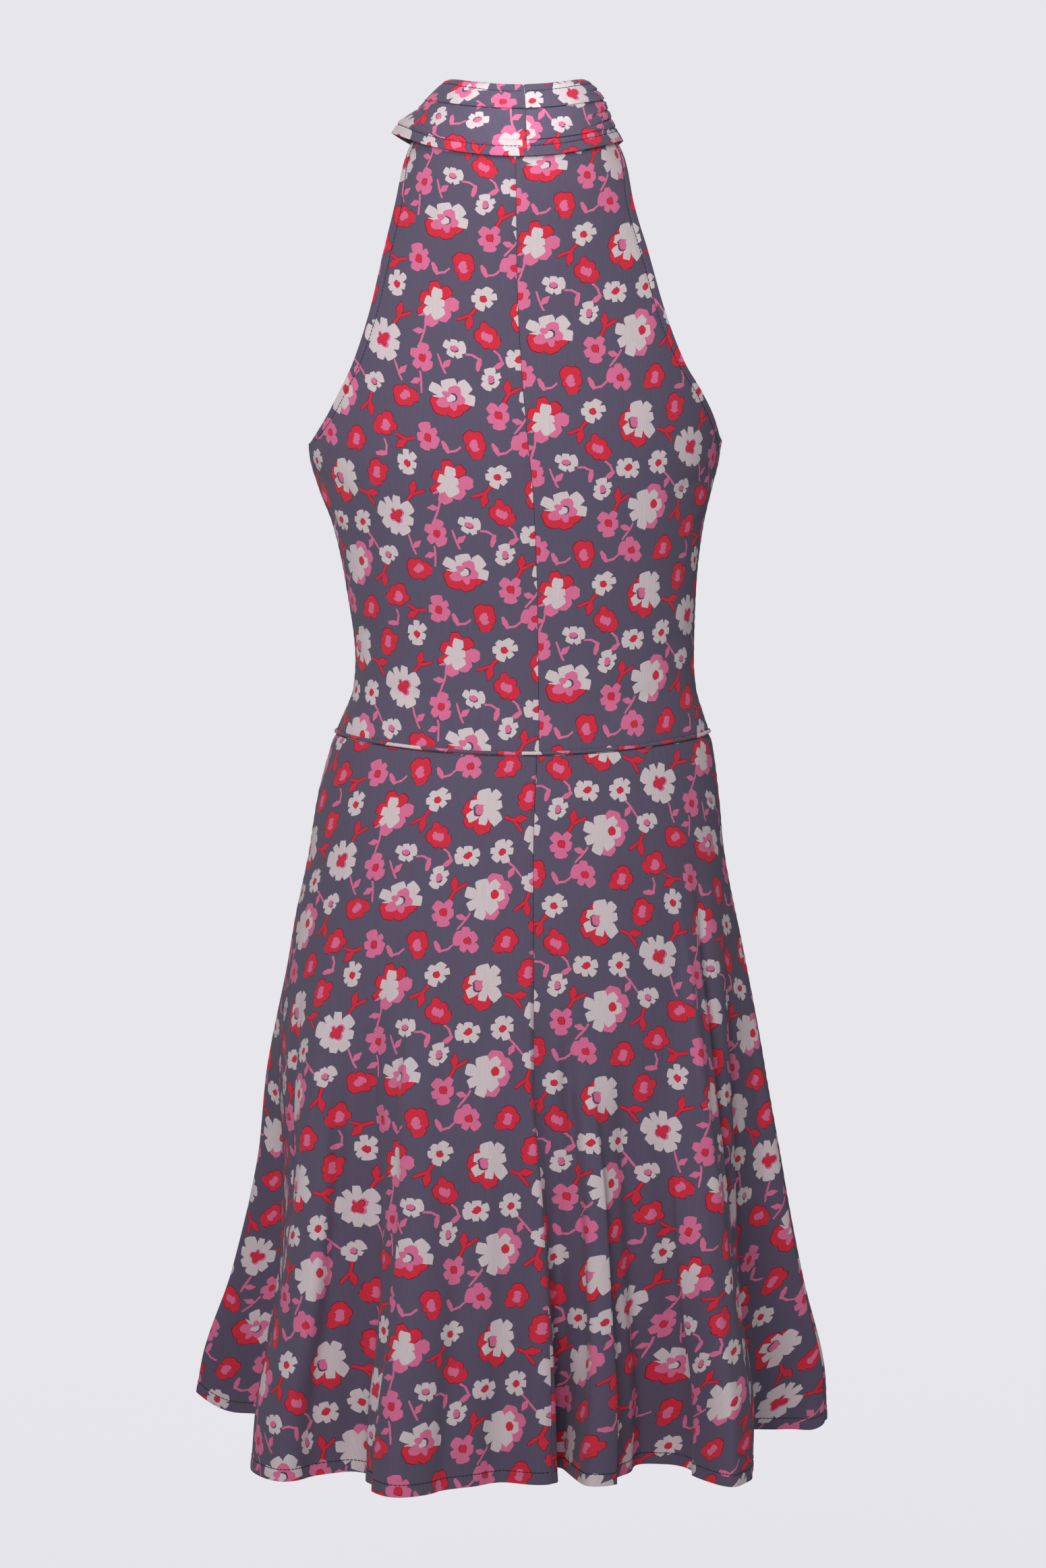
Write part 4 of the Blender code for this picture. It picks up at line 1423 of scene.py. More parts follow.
@dataclass
class FlowerPrint:
    """Shader group that draws the print from a place on the cloth, in millimetres."""

    repeat: PrintRepeat
    inks: InkSet
    wobble_scale: float = 0.45
    wobble_reach: float = 0.9
    phase_share: float = 11.0
    placing: Tree = field(init=False)
    flower: Tree = field(init=False)
    stroke: Tree = field(init=False)
    whole: Tree = field(init=False)

    def __post_init__(self) -> None:
        """Builds the small groups first and then the print."""
        self.placing = self.placing_group()
        self.flower = self.flower_group()
        self.stroke = self.stroke_group()
        self.whole = self.print_group()

    def placing_group(self) -> Tree:
        """Group that takes over where a place on the cloth lies in one motif's circle.

        Returns:
            The shader group.
        """
        sheet, want = new_group(
            "place_motif",
            {"Cloth": VECTOR, "Chosen": VECTOR, "Centre": VECTOR, "Turn": FLOAT, "Grow": FLOAT, "Code": VECTOR},
            {"Chosen": VECTOR},
        )
        half = (self.repeat.width / 2.0, self.repeat.height / 2.0, 1.0)
        upper, lower = sheet.vector("ADD", want["Centre"], half), sheet.vector("SUBTRACT", want["Centre"], half)
        away = sheet.vector("SUBTRACT", sheet.vector("WRAP", want["Cloth"], upper, lower), want["Centre"])
        rotate = sheet.add("ShaderNodeVectorRotate", {"Vector": away, "Angle": want["Turn"]}, rotation_type="Z_AXIS")
        grown = sheet.scaled(rotate.outputs[0], want["Grow"])
        inside = sheet.number("LESS_THAN", sheet.measure("LENGTH", grown), 1.0)
        coded = sheet.vector("ADD", grown, want["Code"])
        chosen = sheet.add("ShaderNodeMix", {0: inside, 4: want["Chosen"], 5: coded}, data_type="VECTOR")
        return sheet.give(Chosen=chosen.outputs[1])

    def flower_group(self) -> Tree:
        """Group for a flower of flat-ended petals with notches between them: more than 0 inside its outline.

        Returns:
            The shader group.
        """
        numbers = ("Radius", "Count", "Notch", "Notch width", "Warp", "Ragged", "Phase")
        sheet, want = new_group(
            "paper_flower",
            {"Point": VECTOR, "Centre": VECTOR, **{name: FLOAT for name in numbers}},
            {"Inside": FLOAT},
        )
        number = sheet.number
        away = sheet.vector("SUBTRACT", want["Point"], want["Centre"])
        parts = sheet.add("ShaderNodeSeparateXYZ", {0: away}).outputs
        angle = number("ARCTAN2", parts[1], parts[0])
        twice = number("SINE", number("MULTIPLY_ADD", angle, 2.0, want["Phase"]))
        thrice = number("SINE", number("MULTIPLY_ADD", angle, 3.0, number("MULTIPLY", want["Phase"], 2.3)))
        bent = number("MULTIPLY_ADD", number("MULTIPLY_ADD", thrice, 0.6, twice), want["Warp"], angle)
        place = number("DIVIDE", number("MULTIPLY", bent, want["Count"]), 2.0 * math.pi)
        local = number("MULTIPLY", number("PINGPONG", place, 0.5), 2.0)
        half = number("DIVIDE", math.pi, want["Count"])
        flat = number("DIVIDE", number("COSINE", half), number("COSINE", number("MULTIPLY", local, half)))
        into = number("SUBTRACT", local, number("SUBTRACT", 1.0, want["Notch width"]))
        into = number("MAXIMUM", number("DIVIDE", into, want["Notch width"]), 0.0)
        lean = number("SINE", number("MULTIPLY_ADD", want["Phase"], 1.7, angle))
        deep = number("MULTIPLY", want["Notch"], number("MULTIPLY_ADD", lean, 0.22, 0.96))
        cut = number("SUBTRACT", 1.0, number("MULTIPLY", into, deep))
        petal = number("FLOORED_MODULO", number("ROUND", place), want["Count"])
        uneven = number("SINE", number("MULTIPLY_ADD", petal, 2.4, want["Phase"]))
        oval = number("MULTIPLY_ADD", twice, 0.06, 1.06)
        length = number("MULTIPLY", number("MULTIPLY_ADD", uneven, want["Ragged"], 1.0), oval)
        edge = number("MULTIPLY", number("MULTIPLY", number("MULTIPLY", flat, cut), length), want["Radius"])
        return sheet.give(Inside=number("SUBTRACT", edge, sheet.measure("LENGTH", away)))

    def stroke_group(self) -> Tree:
        """Group for a stem or leaf: more than 0 inside its outline.

        Returns:
            The shader group.
        """
        sheet, want = new_group(
            "stem_stroke",
            {"Point": VECTOR, "From": VECTOR, "Along": VECTOR, "Width": FLOAT, "Leaf": FLOAT},
            {"Inside": FLOAT},
        )
        away = sheet.vector("SUBTRACT", want["Point"], want["From"])
        dot = sheet.measure("DOT_PRODUCT", away, want["Along"])
        square = sheet.measure("DOT_PRODUCT", want["Along"], want["Along"])
        share = sheet.add("ShaderNodeClamp", {0: sheet.number("DIVIDE", dot, square)}).outputs[0]
        length = sheet.measure("LENGTH", sheet.vector("SUBTRACT", away, sheet.scaled(want["Along"], share)))
        middle = sheet.number("ABSOLUTE", sheet.number("MULTIPLY_ADD", share, 2.0, -1.0))
        thin = sheet.number("SUBTRACT", 1.0, sheet.number("MULTIPLY", middle, want["Leaf"]))
        return sheet.give(Inside=sheet.number("SUBTRACT", sheet.number("MULTIPLY", want["Width"], thin), length))

    def print_group(self) -> Tree:
        """Group that gives the print's colour at a place on the cloth.

        Returns:
            The shader group.
        """
        sheet, want = new_group("flower_print", {"Cloth": VECTOR}, {"Colour": COLOUR})
        wobble = sheet.noise(want["Cloth"], self.wobble_scale, 2.0)
        centred = sheet.vector("SUBTRACT", wobble.outputs["Color"], (0.5, 0.5, 0.5))
        drift = sheet.vector("MULTIPLY", centred, (self.wobble_reach, self.wobble_reach, 0.0))
        cloth = sheet.vector("MULTIPLY", sheet.vector("ADD", want["Cloth"], drift), (1.0, 1.0, 0.0))
        chosen: object = (9.0, 9.0, 0.0)
        for motif in self.repeat.place():
            mark = motif.style.value + self.repeat.variant_reach * motif.variant
            chosen = sheet.group(self.placing, {
                "Cloth": cloth,
                "Chosen": chosen,
                "Centre": (motif.x, motif.y, 0.0),
                "Turn": motif.turn,
                "Grow": 1.0 / motif.radius,
                "Code": (0.0, 0.0, mark),
            }).outputs["Chosen"]
        code = sheet.add("ShaderNodeSeparateXYZ", {0: chosen}).outputs[2]
        point = sheet.vector("MULTIPLY", chosen, (1.0, 1.0, 0.0))
        phase = sheet.number("MULTIPLY", code, self.phase_share)
        colour: object = self.inks.ground
        for style, layers in MOTIF_LAYERS.items():
            wanted = sheet.number("COMPARE", code, float(style.value), 0.4)
            for layer in layers:
                inside = self.layer_inside(sheet, layer, point, phase)
                share = sheet.number("MULTIPLY", sheet.number("GREATER_THAN", inside, 0.0), wanted)
                over = {0: share, 6: colour, 7: getattr(self.inks, layer.ink)}
                colour = sheet.add("ShaderNodeMix", over, data_type="RGBA").outputs[2]
        return sheet.give(Colour=colour)

    def layer_inside(self, sheet: NodeSheet, layer: Petals | Stroke, point: Socket, phase: Socket) -> Socket:
        """Adds one layer of a motif.

        Args:
            sheet: where its nodes go.
            layer: petals or a stroke.
            point: the place in the motif.
            phase: number that makes each flower of a kind its own.

        Returns:
            More than 0 inside the layer.
        """
        if isinstance(layer, Stroke):
            return sheet.group(self.stroke, {
                "Point": point,
                "From": (layer.x, layer.y, 0.0),
                "Along": (layer.end_x - layer.x, layer.end_y - layer.y, 0.0),
                "Width": layer.width,
                "Leaf": layer.leaf,
            }).outputs["Inside"]
        inside = sheet.group(self.flower, {
            "Point": point,
            "Centre": (layer.x, layer.y, 0.0),
            "Radius": layer.radius,
            "Count": layer.count,
            "Notch": layer.notch,
            "Notch width": layer.notch_width,
            "Warp": layer.warp,
            "Ragged": layer.ragged,
            "Phase": phase,
        }).outputs["Inside"]
        if layer.side_x or layer.side_y:
            side = sheet.measure("DOT_PRODUCT", point, (layer.side_x, layer.side_y, 0.0))
            return sheet.number("MINIMUM", inside, sheet.number("ADD", side, layer.side_shift))
        return inside


@dataclass(frozen=True)
class JerseyFinish:
    """Look of the knitted cloth itself."""

    roughness: float = 0.86
    sheen: float = 0.10
    sheen_roughness: float = 0.5
    specular: float = 0.25
    wale: float = 0.8
    courses_per_wale: float = 1.3
    bump: float = 0.35
    bump_distance: float = 0.00018
    course_share: float = 0.35
    fine_scale: float = 1.4
    fine_height: float = 1.2
    slub_stretch: Triple = (0.9, 0.06, 1.0)
    base_shade: float = 0.78
    fine_heather_and_painted_shade: float = 0.26
    slub_shade: float = 0.18
    knit_painted_shade: float = 0.035

    def knit_group(self) -> Tree:
        """Group of the knit: fine wales and courses as relief, with painted shade along them in the colour, and a
        slight heathered unevenness that also paints the colour lighter where the fine grain stands higher.

        Returns:
            The shader group.
        """
        sheet, want = new_group("jersey_knit", {"Cloth": VECTOR}, {"Height": FLOAT, "Shade": FLOAT})
        parts = sheet.add("ShaderNodeSeparateXYZ", {0: want["Cloth"]}).outputs
        turn = 2.0 * math.pi / self.wale
        wales = sheet.number("SINE", sheet.number("MULTIPLY", parts[0], turn))
        courses = sheet.number("SINE", sheet.number("MULTIPLY", parts[1], turn * self.courses_per_wale))
        knit = sheet.number("MULTIPLY_ADD", courses, self.course_share, wales)
        fine = sheet.noise(want["Cloth"], self.fine_scale, 2.0).outputs["Fac"]
        streak = sheet.vector("MULTIPLY", want["Cloth"], self.slub_stretch)
        slub = sheet.noise(streak, 1.0, 1.0).outputs["Fac"]
        # heathered tone and painted shade: the same fine grain also raises the bump, so the colour is painted
        # lighter where the cloth stands higher
        shade = sheet.number("MULTIPLY_ADD", fine, self.fine_heather_and_painted_shade, self.base_shade)
        shade = sheet.number("MULTIPLY_ADD", slub, self.slub_shade, shade)
        # painted shade: the colour darkens along the knit's wales and courses, following the same waves as the
        # bump's relief
        shade = sheet.number("MULTIPLY_ADD", knit, self.knit_painted_shade, shade)
        height = sheet.number("ADD", knit, sheet.number("MULTIPLY", fine, self.fine_height))
        return sheet.give(Height=height, Shade=shade)

    def material(self, name: str, knit: Tree, ink: Tree | None, tint: Colour) -> Material:
        """Makes one cloth material.

        Args:
            name: the material's name.
            knit: group of the knit.
            ink: group of the print, or None for the plain wrong side.
            tint: colour that the print is multiplied by, or the plain colour.

        Returns:
            The material.
        """
        material, sheet = new_material(name)
        sheet.tree.nodes.clear()
        uv = sheet.add("ShaderNodeUVMap", uv_map=UV_NAME)
        cloth = sheet.vector("MULTIPLY", uv.outputs[0], (1.0 / METRES_PER_MM, 1.0 / METRES_PER_MM, 0.0))
        weave = sheet.group(knit, {"Cloth": cloth}).outputs
        colour: object = tint[:3]
        if ink is not None:
            product = {0: 1.0, 6: sheet.group(ink, {"Cloth": cloth}).outputs["Colour"], 7: tint}
            colour = sheet.add("ShaderNodeMix", product, data_type="RGBA", blend_type="MULTIPLY").outputs[2]
        relief = {"Strength": self.bump, "Distance": self.bump_distance, "Height": weave["Height"]}
        shader = sheet.add("ShaderNodeBsdfPrincipled", {
            "Base Color": sheet.scaled(colour, weave["Shade"]),
            "Roughness": self.roughness,
            "Sheen Weight": self.sheen,
            "Sheen Roughness": self.sheen_roughness,
            "Specular IOR Level": self.specular,
            "Normal": sheet.add("ShaderNodeBump", relief).outputs[0],
        })
        sheet.add("ShaderNodeOutputMaterial", {"Surface": shader.outputs[0]})
        return material


@dataclass(frozen=True)
class Wardrobe:
    """Every material of the dress."""

    printed: Material
    collar: Material
    piping: Material
    wrong_side: Material
    thread: Material

    @classmethod
    def make(cls) -> "Wardrobe":
        """Makes the print, the knit and the materials that use them.

        Returns:
            The set of materials.
        """
        finish = JerseyFinish()
        knit = finish.knit_group()
        ink = FlowerPrint(PrintRepeat(), InkSet()).whole
        return cls(
            printed=finish.material("printed_jersey", knit, ink, (1.0, 1.0, 1.0, 1.0)),
            # painted light: the collar's copy of the print is made 6% lighter, standing in for the extra light that
            # falls on its upturned face
            collar=finish.material("printed_jersey_collar", knit, ink, (1.06, 1.06, 1.06, 1.0)),
            # painted light: the piping's copy of the print is made 5% lighter, standing in for the light that its
            # raised welt catches
            piping=finish.material("printed_jersey_piping", knit, ink, (1.05, 1.05, 1.05, 1.0)),
            wrong_side=finish.material("jersey_wrong_side", knit, None, srgb(126, 112, 122)),
            thread=cls.thread_material(),
        )

    @staticmethod
    def thread_material() -> Material:
        """Sewing thread, a shade darker than the ground, twisted.

        Returns:
            The material.
        """
        material, sheet = new_material("sewing_thread")
        place = sheet.add("ShaderNodeTexCoord").outputs["Object"]
        ramp = sheet.add("ShaderNodeMapRange", {0: sheet.noise(place, 900.0, 1.0).outputs["Fac"], 3: 0.75, 4: 1.15})
        shade = sheet.scaled(srgb(52, 46, 62)[:3], ramp.outputs[0])
        sheet.fill(sheet.tree.nodes["Principled BSDF"], {"Base Color": shade, "Roughness": 0.7})
        return material


# Bodice and skirt


@dataclass
class Bodice:
    """Two back halves and a front, cut in at the armholes."""

    form: DressForm
    rows_above: int = 74
    rows_below: int = 64
    back_columns: int = 64
    front_columns: int = 120
    rows_crowd_down: float = 1.5

    def rows(self) -> Array:
        """Fractions from the top edge to the waist seam, closer near the row at the underarm.

        Returns:
            Fractions, one in each row.
        """
        top = self.form.collar_low_side + self.form.bodice_tucked_in
        underarm = (top - self.form.underarm) / (top - self.form.waist_side - 0.5 * self.form.seam_gap)
        above = underarm * (1.0 - (1.0 - np.linspace(0.0, 1.0, self.rows_above + 1)) ** self.rows_crowd_down)
        below = np.linspace(underarm, 1.0, self.rows_below + 1)
        return np.concatenate([above, below[1:]])[:, None]

    def grid(self, columns: int, start: EdgeAngle, end: EdgeAngle) -> tuple[Array, Array]:
        """Angles and levels of a panel's points.

        Args:
            columns: count of columns.
            start: function of level for the panel's first edge.
            end: function of level for its last edge.

        Returns:
            Angles and levels, with a row for each level.
        """
        across = np.linspace(0.0, 1.0, columns + 1)[None, :]
        down = self.rows()
        angles = self.form.settled(start, down) * (1.0 - across) + self.form.settled(end, down) * across
        return angles, self.form.bodice_level(angles, down)

    def side_edge(self, right_side: bool, front: bool) -> EdgeAngle:
        """Describes a panel's armhole edge and, below it, its side seam edge.

        Args:
            right_side: True at +X.
            front: True for the front panel.

        Returns:
            Function of level that gives the edge's angle.
        """
        form = self.form
        base = FULL_TURN / 2.0 if front else 0.0
        sign = 1.0 if right_side != front else -1.0

        def edge(z: Array) -> Array:
            """Angle of the edge at the given levels."""
            angle = base + sign * form.armhole_angle(z, right_side, front)
            return np.where(z <= form.underarm + form.underarm_reach, form.inset(angle, z, -sign), angle)

        return edge

    def centre_seam(self, way: float) -> EdgeAngle:
        """Function of level for one half's edge at the centre back seam."""
        return lambda z: self.form.inset(self.form.centre_back_angle(z), z, way)

    def pieces(self) -> list[CutPiece]:
        """The three cut pieces of the bodice.

        Returns:
            The pieces, not yet shaped.
        """
        left = self.grid(self.back_columns, self.side_edge(False, False), self.centre_seam(-1.0))
        right = self.grid(self.back_columns, self.centre_seam(1.0), self.side_edge(True, False))
        front = self.grid(self.front_columns, self.side_edge(True, True), self.side_edge(False, True))
        turning, seam, hidden = EdgeKind.TURNED, EdgeKind.SEAM, EdgeKind.HIDDEN
        return [
            CutPiece("back_bodice_left", *left, turning, seam, hidden, seam, self.back_columns, 0.0,
                     (12.0, 64.0), (0.214, 0.447), 0.069, "collar_band", armholes=True),
            CutPiece("back_bodice_right", *right, seam, turning, hidden, seam, 0, 0.0,
                     (97.0, 18.0), (0.191, 0.447), 0.063, "collar_band", armholes=True),
            CutPiece("front_bodice", *front, turning, turning, hidden, seam, self.front_columns // 2, 0.0,
                     (40.0, 33.0), (0.429, 0.456), 0.138, "collar_band", armholes=True),
        ]


@dataclass
class Skirt:
    """Two back halves and a front, flared into loose folds."""

    form: DressForm
    seam_angle: float = 4.5
    side_angle: float = 90.0
    left_columns: int = 280
    right_columns: int = 270
    front_columns: int = 290
    row_count: int = 136
    fan_radius: float = 350.0

    def grid(self, columns: int, start: float, end: float) -> tuple[Array, Array]:
        """Angles and levels of a skirt panel's points, between two seam angles.

        Args:
            columns: count of columns.
            start: first seam's angle.
            end: last seam's angle.

        Returns:
            Angles and levels.
        """
        down = np.linspace(0.0, 1.0, self.row_count + 1)[:, None]
        across = np.linspace(0.0, 1.0, columns + 1)[None, :]
        level = self.form.waist_side + (self.form.hem - self.form.waist_side) * down
        first = self.form.inset(np.full_like(level, start), level, 1.0)
        last = self.form.inset(np.full_like(level, end), level, -1.0)
        angles = first * (1.0 - across) + last * across
        top = self.form.waist(angles) - 0.5 * self.form.seam_gap
        return angles, top + (self.form.hem_level(angles) - top) * down

    def pieces(self) -> list[CutPiece]:
        """The three cut pieces of the skirt.

        Returns:
            The pieces, not yet shaped.
        """
        left = self.grid(self.left_columns, -self.side_angle, self.seam_angle)
        right = self.grid(self.right_columns, self.seam_angle, self.side_angle)
        front = self.grid(self.front_columns, self.side_angle, FULL_TURN - self.side_angle)
        edges = (EdgeKind.SEAM, EdgeKind.SEAM, EdgeKind.SEAM, EdgeKind.TURNED)
        return [
            CutPiece("back_skirt_left", *left, *edges, self.left_columns, self.fan_radius,
                     (58.0, 71.0), (0.49, 0.57), 0.164, "back_bodice_left_cloth"),
            CutPiece("back_skirt_right", *right, *edges, 0, self.fan_radius,
                     (131.0, 25.0), (0.53, 0.56), 0.155, "back_bodice_right_cloth"),
            CutPiece("front_skirt", *front, *edges, self.front_columns // 2, self.fan_radius,
                     (83.0, 96.0), (0.88, 0.57), 0.291, "front_bodice_cloth"),
        ]


# Sewing


@dataclass
class WaistPiping:
    """Narrow raised welt that lies on the bodice just above the waist seam."""

    form: DressForm
    rise: float = 1.9
    columns: int = 420
    print_start: tuple[float, float] = (67.0, 51.0)
    print_step: float = 0.8
    half_rise: float = 0.5
    swells: tuple[Triple, ...] = ((0.06, 41.0, 0.0), (0.05, 67.0, 1.0))
    section: tuple[BeadPoint, ...] = table(
        BeadPoint,
        (0.05, 1.35), (0.70, 1.20), (1.10, 0.75), (1.25, 0.20), (1.20, -0.40), (0.95, -0.90), (0.50, -1.20),
        (0.00, -1.30),
    )

    def build(self, material: Material) -> None:
        """Makes the welt as one ring.

        Args:
            material: its cloth.
        """
        angles = np.linspace(0.0, FULL_TURN, self.columns, endpoint=False)
        levels = self.form.waist(angles) + self.rise
        base = self.form.body(angles, levels)
        out = self.form.normals(self.form.body, angles, levels, -self.form.level_step)
        up = self.form.body(angles, levels + self.half_rise) - self.form.body(angles, levels - self.half_rise)
        turn = np.radians(angles)
        swell = sum((height * np.sin(turn * waves + shift) for height, waves, shift in self.swells), 1.0)
        rings = [base + corner.out * swell[:, None] * out + corner.up * up for corner in self.section]
        points = np.stack(rings) * METRES_PER_MM
        at = np.arange(len(rings) * self.columns).reshape(len(rings), self.columns)
        below, beside = np.roll(at, -1, axis=0), np.roll(at, -1, axis=1)
        faces = np.stack([at, below, np.roll(below, -1, axis=1), beside], axis=-1).reshape(-1, 4)
        mesh = bpy.data.meshes.new("waist_piping_welt")
        mesh.from_pydata(points.reshape(-1, 3).tolist(), [], faces.tolist())
        here = run_of(base)
        ahead = np.append(here[1:], here[-1] + np.linalg.norm(base[0] - base[-1]))
        side = np.broadcast_to(np.stack([here, here, ahead, ahead], axis=-1), (*at.shape, 4))
        row = np.arange(len(rings))[:, None]
        rise = np.broadcast_to(np.stack([row, row + 1, row + 1, row], axis=-1), side.shape)
        u, v = self.print_start
        flat = np.stack([side + u, v - self.print_step * rise], axis=-1) * METRES_PER_MM
        mesh.uv_layers.new(name=UV_NAME).data.foreach_set("uv", flat.astype(np.float32).ravel())
        mesh.materials.append(material)
        mesh.shade_smooth()
        stand_for(place_object("waist_piping_welt", mesh), "waist_piping")


@dataclass
class Seamwork:
    """Rows of stitches, each stitch one copy of a short rounded thread."""

    sewing: Stitching
    material: Material
    stitch_points: Array = field(init=False)
    stitch_faces: Array = field(init=False)
    half_view: float = 0.8
    sides: int = 6
    body_share: float = 0.7
    tip_share: float = 0.15
    tip_width: float = 0.45
    end_facing: float = 0.9

    def __post_init__(self) -> None:
        """Models one stitch: a short cylinder whose two ends are drawn in, lying along X."""
        bpy.ops.object.select_all(action="DESELECT")
        bpy.ops.mesh.primitive_cylinder_add(
            vertices=self.sides,
            radius=self.sewing.thread,
            depth=self.sewing.length * self.body_share,
            rotation=(0.0, math.radians(90.0), 0.0),
        )
        stitch = bpy.context.object
        bpy.ops.object.transform_apply(location=True, rotation=True, scale=True)
        bpy.ops.object.mode_set(mode="EDIT")
        bpy.ops.mesh.select_mode(type="FACE")
        for end in (-1.0, 1.0):
            bpy.ops.mesh.select_all(action="DESELECT")
            bpy.ops.object.mode_set(mode="OBJECT")
            for face in stitch.data.polygons:
                face.select = face.normal.x * end > self.end_facing
            bpy.ops.object.mode_set(mode="EDIT")
            outwards = {"value": (end * self.sewing.length * self.tip_share, 0.0, 0.0)}
            bpy.ops.mesh.extrude_region_move(TRANSFORM_OT_translate=outwards)
            bpy.ops.transform.resize(value=(1.0, self.tip_width, self.tip_width))
        bpy.ops.mesh.select_all(action="SELECT")
        bpy.ops.mesh.quads_convert_to_tris()
        bpy.ops.object.mode_set(mode="OBJECT")
        self.stitch_points = np.array([vertex.co[:] for vertex in stitch.data.vertices])
        self.stitch_faces = np.array([face.vertices[:] for face in stitch.data.polygons])
        bpy.data.objects.remove(stitch, do_unlink=True)

    def row(self, name: str, lines: Sequence[Line]) -> None:
        """Sews stitches along lines on the cloth, all as one piece.

        Args:
            name: the piece's name.
            lines: for each line, its points and the directions out of the cloth there.
        """
        placed: list[Array] = []
        for points, out in lines:
            lengths = run_of(points)
            for middle in np.arange(self.sewing.pitch, lengths[-1] - self.sewing.pitch, self.sewing.pitch):
                behind, here, ahead = (
                    self.at(lengths, points, middle + shift) for shift in (-self.half_view, 0.0, self.half_view))
                along = ahead - behind
                along /= np.linalg.norm(along)
                side = np.cross(self.at(lengths, out, middle), along)
                side /= np.linalg.norm(side)
                up = np.cross(along, side)
                local = self.stitch_points
                place = here + up * self.sewing.stands_out
                placed.append(place + local[:, :1] * along + local[:, 1:2] * side + local[:, 2:] * up)
        faces = [self.stitch_faces + index * len(self.stitch_points) for index in range(len(placed))]
        mesh = bpy.data.meshes.new(name)
        mesh.from_pydata((np.concatenate(placed) * METRES_PER_MM).tolist(), [], np.concatenate(faces).tolist())
        mesh.materials.append(self.material)
        mesh.shade_smooth()
        stand_for(place_object(name, mesh))

    @staticmethod
    def at(lengths: Array, values: Array, place: float) -> Array:
        """Reads a value along a line by its length."""
        return np.array([np.interp(place, lengths, values[:, axis]) for axis in range(3)])


# Room, light and camera


@dataclass(frozen=True)
class Lamp:
    """One square soft lamp: its place, what it faces, its width in metres, its watts and its cone."""

    name: str
    place: Triple
    aim: Triple
    size: float
    power: float
    spread: float = 180.0


def aim_object(thing: bpy.types.Object, place: Triple, aim: Triple) -> None:
    """Puts a lamp or camera at a place and turns it to face a point."""
    thing.location = place
    thing.rotation_euler = (Vector(aim) - Vector(place)).to_track_quat("-Z", "Y").to_euler()


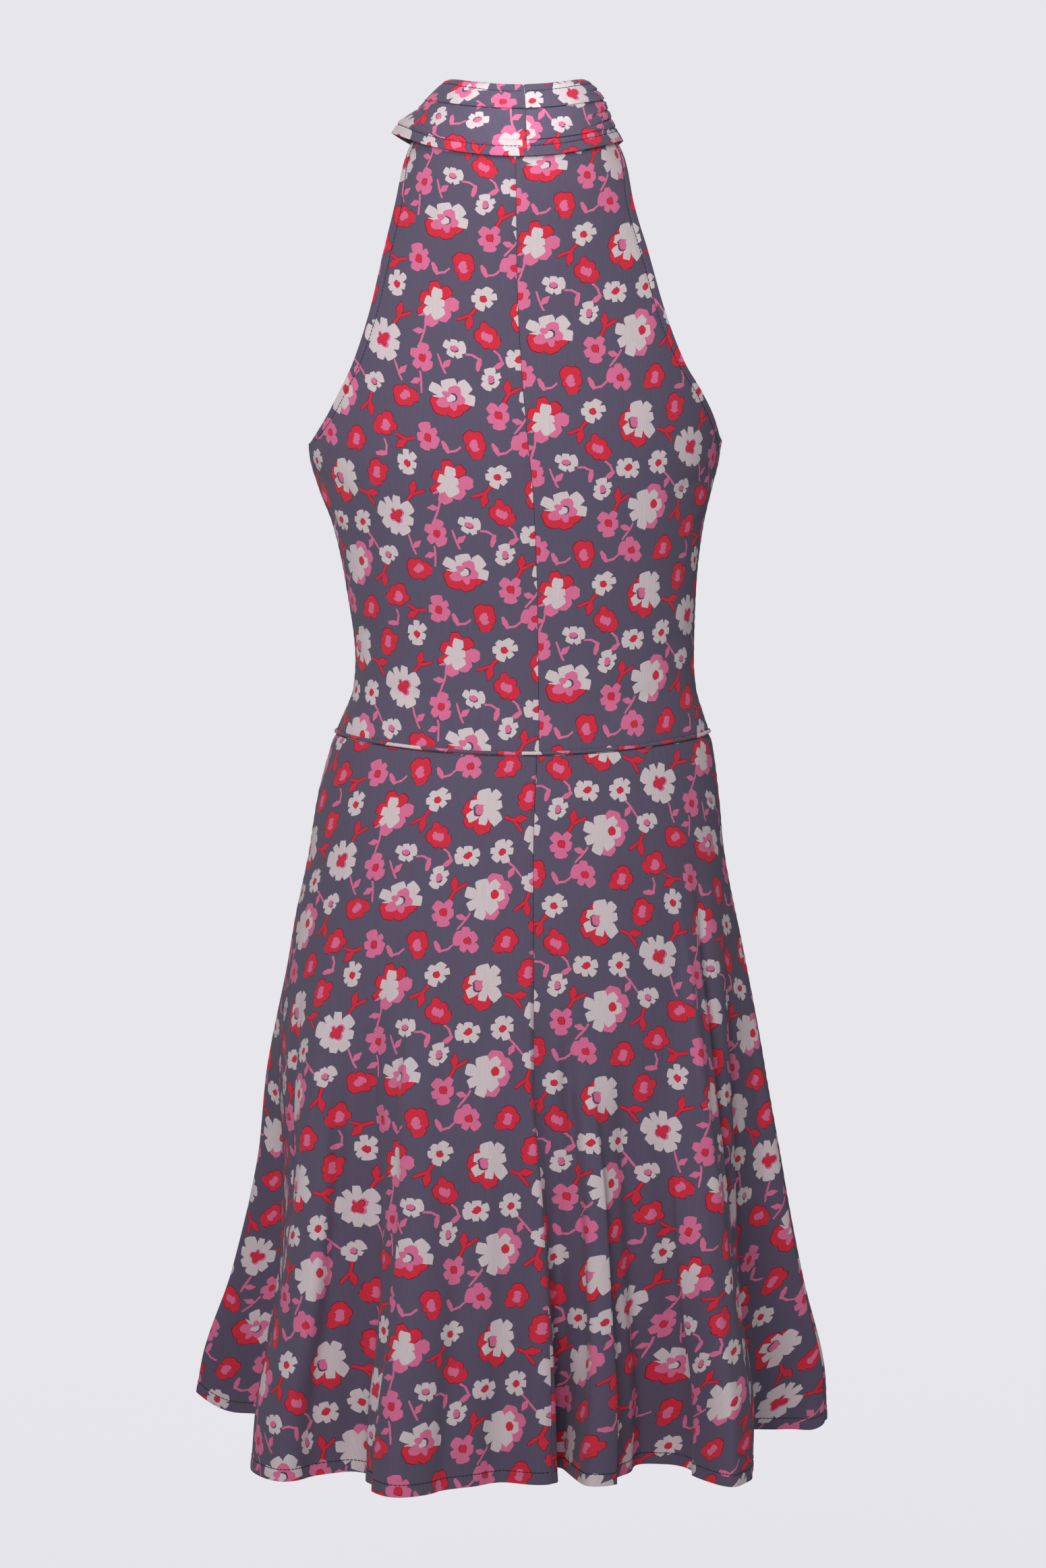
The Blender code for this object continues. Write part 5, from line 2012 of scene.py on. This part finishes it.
@dataclass
class Studio:
    """Plain pale floor and air that meet without an edge, soft light, and the camera at the photograph's angle."""

    floor_level: float = -1.45
    floor_radius: float = 3.2
    floor_whole: float = 0.3
    floor_fades_by: float = 0.95
    floor_glow: float = 0.4
    floor_body: float = 0.25
    air_light: float = 0.2
    air: Colour = (0.97, 0.97, 1.0, 1.0)
    camera_place: Triple = (0.0, -3.0, -0.222)
    looks_at: Triple = (0.0, 0.0, -0.472)
    sensor_height: float = 36.0
    focal_pixels: float = 6000.0
    image_width: float = 1551.0
    image_height: float = 2326.0
    axis_pixel: float = 768.0
    pale: Colour = srgb(231, 230, 235)
    lamps: tuple[Lamp, ...] = (
        Lamp("key_light", (-0.2, -1.2, 0.1), (0.0, 0.0, -0.45), 0.36, 8.2),
        Lamp("collar_light", (0.1, -0.56, 0.38), (0.0, -0.05, 0.03), 0.08, 0.024, 18.0),
        Lamp("left_light", (-1.63, 0.0, 0.31), (0.0, 0.0, -0.45), 0.7, 2.4),
        Lamp("right_light", (1.4, -0.8, 0.1), (0.0, 0.0, -0.45), 0.7, 1.1),
        Lamp("back_light", (0.1, 2.6, 0.9), (0.0, 0.0, -0.45), 1.4, 28.0),
    )

    def camera(self) -> None:
        """Places the camera where the photograph was taken from."""
        data = bpy.data.cameras.new("photo_camera")
        data.sensor_fit = "VERTICAL"
        data.sensor_height = self.sensor_height
        data.sensor_width = self.sensor_height * self.image_width / self.image_height
        data.lens = self.focal_pixels / self.image_height * self.sensor_height
        data.shift_x = (self.image_width / 2.0 - self.axis_pixel) / self.image_height
        camera = place_object("photo_camera", data)
        aim_object(camera, self.camera_place, self.looks_at)
        bpy.context.scene.camera = camera

    def floor(self) -> None:
        """Makes a round floor that fades into the air towards its rim."""
        bpy.ops.object.select_all(action="DESELECT")
        bpy.ops.mesh.primitive_circle_add(
            vertices=96, radius=self.floor_radius, fill_type="NGON", location=(0.0, 0.0, self.floor_level))
        floor = bpy.context.object
        floor.name = "studio_floor"
        bpy.ops.object.transform_apply(location=True, rotation=True, scale=True)
        material, sheet = new_material("pale_floor")
        place = sheet.add("ShaderNodeTexCoord").outputs["Object"]
        grain = sheet.noise(place, 60.0, 3.0).outputs["Fac"]
        ramp = sheet.add("ShaderNodeMapRange", {0: grain, 3: 0.99, 4: 1.01})
        flat = sheet.measure("LENGTH", sheet.vector("MULTIPLY", place, (1.0, 1.0, 0.0)))
        rim = self.floor_fades_by * self.floor_radius
        fade = sheet.add(
            "ShaderNodeMapRange",
            {0: flat, 1: self.floor_whole, 2: rim, 3: self.floor_body, 4: 0.0},
            interpolation_type="SMOOTHSTEP",
        )
        sheet.fill(sheet.tree.nodes["Principled BSDF"], {
            "Base Color": sheet.scaled(self.pale[:3], ramp.outputs[0]),
            "Alpha": fade.outputs[0],
            "Roughness": 0.95,
            "Specular IOR Level": 0.0,
            "Emission Color": self.pale,
            "Emission Strength": self.floor_glow,
        })
        floor.data.materials.append(material)

    def lights(self) -> None:
        """Sets an even pale room light, the pale backdrop that the camera sees, and soft lamps."""
        world = bpy.data.worlds.new("studio_air")
        world.use_nodes = True
        sheet = NodeSheet(world.node_tree)
        air = sheet.fill(sheet.tree.nodes["Background"], {0: self.air, 1: self.air_light})
        backdrop = sheet.add("ShaderNodeBackground", {0: self.pale, 1: 1.0})
        seen = sheet.add("ShaderNodeLightPath").outputs["Is Camera Ray"]
        both = sheet.add("ShaderNodeMixShader", {0: seen, 1: air.outputs[0], 2: backdrop.outputs[0]})
        sheet.fill(sheet.tree.nodes["World Output"], {"Surface": both.outputs[0]})
        bpy.context.scene.world = world
        for row in self.lamps:
            data = bpy.data.lights.new(row.name, "AREA")
            data.size = row.size
            data.energy = row.power
            data.spread = math.radians(row.spread)
            lamp = place_object(row.name, data)
            lamp.visible_camera = False
            aim_object(lamp, row.place, row.aim)


# The whole dress


@dataclass
class HalterDress:
    """The whole dress: its form, its creases and its sewing."""

    form: DressForm = field(default_factory=DressForm)
    creases: CreaseSet = field(default_factory=CreaseSet)
    sewing: Stitching = field(default_factory=Stitching)

    def build(self) -> None:
        """Makes every piece, in the order in which the dress is sewn."""
        stuff = Wardrobe.make()
        armholes, hems = [], []
        for piece in Bodice(self.form).pieces() + Skirt(self.form).pieces():
            piece.shape(self.form, self.creases, self.sewing)
            piece.dress(stuff.printed, stuff.wrong_side)
            at_armholes, at_hem = piece.turned_lines(self.form, self.sewing)
            armholes += at_armholes
            hems += at_hem
        collar_lines = CollarForm(self.form).build(self.sewing, stuff.collar, stuff.wrong_side)
        WaistPiping(self.form).build(stuff.piping)
        seamwork = Seamwork(self.sewing, stuff.thread)
        seamwork.row("collar_stitches", collar_lines)
        seamwork.row("armhole_stitches", armholes)
        seamwork.row("hem_stitches", hems)


def main() -> None:
    """Builds the studio and the dress."""
    logging.basicConfig(level=logging.INFO, format="%(name)s %(message)s")
    bpy.context.scene.view_settings.view_transform = "Standard"
    studio = Studio()
    studio.camera()
    studio.floor()
    studio.lights()
    HalterDress().build()


if __name__ == "__main__":
    main()
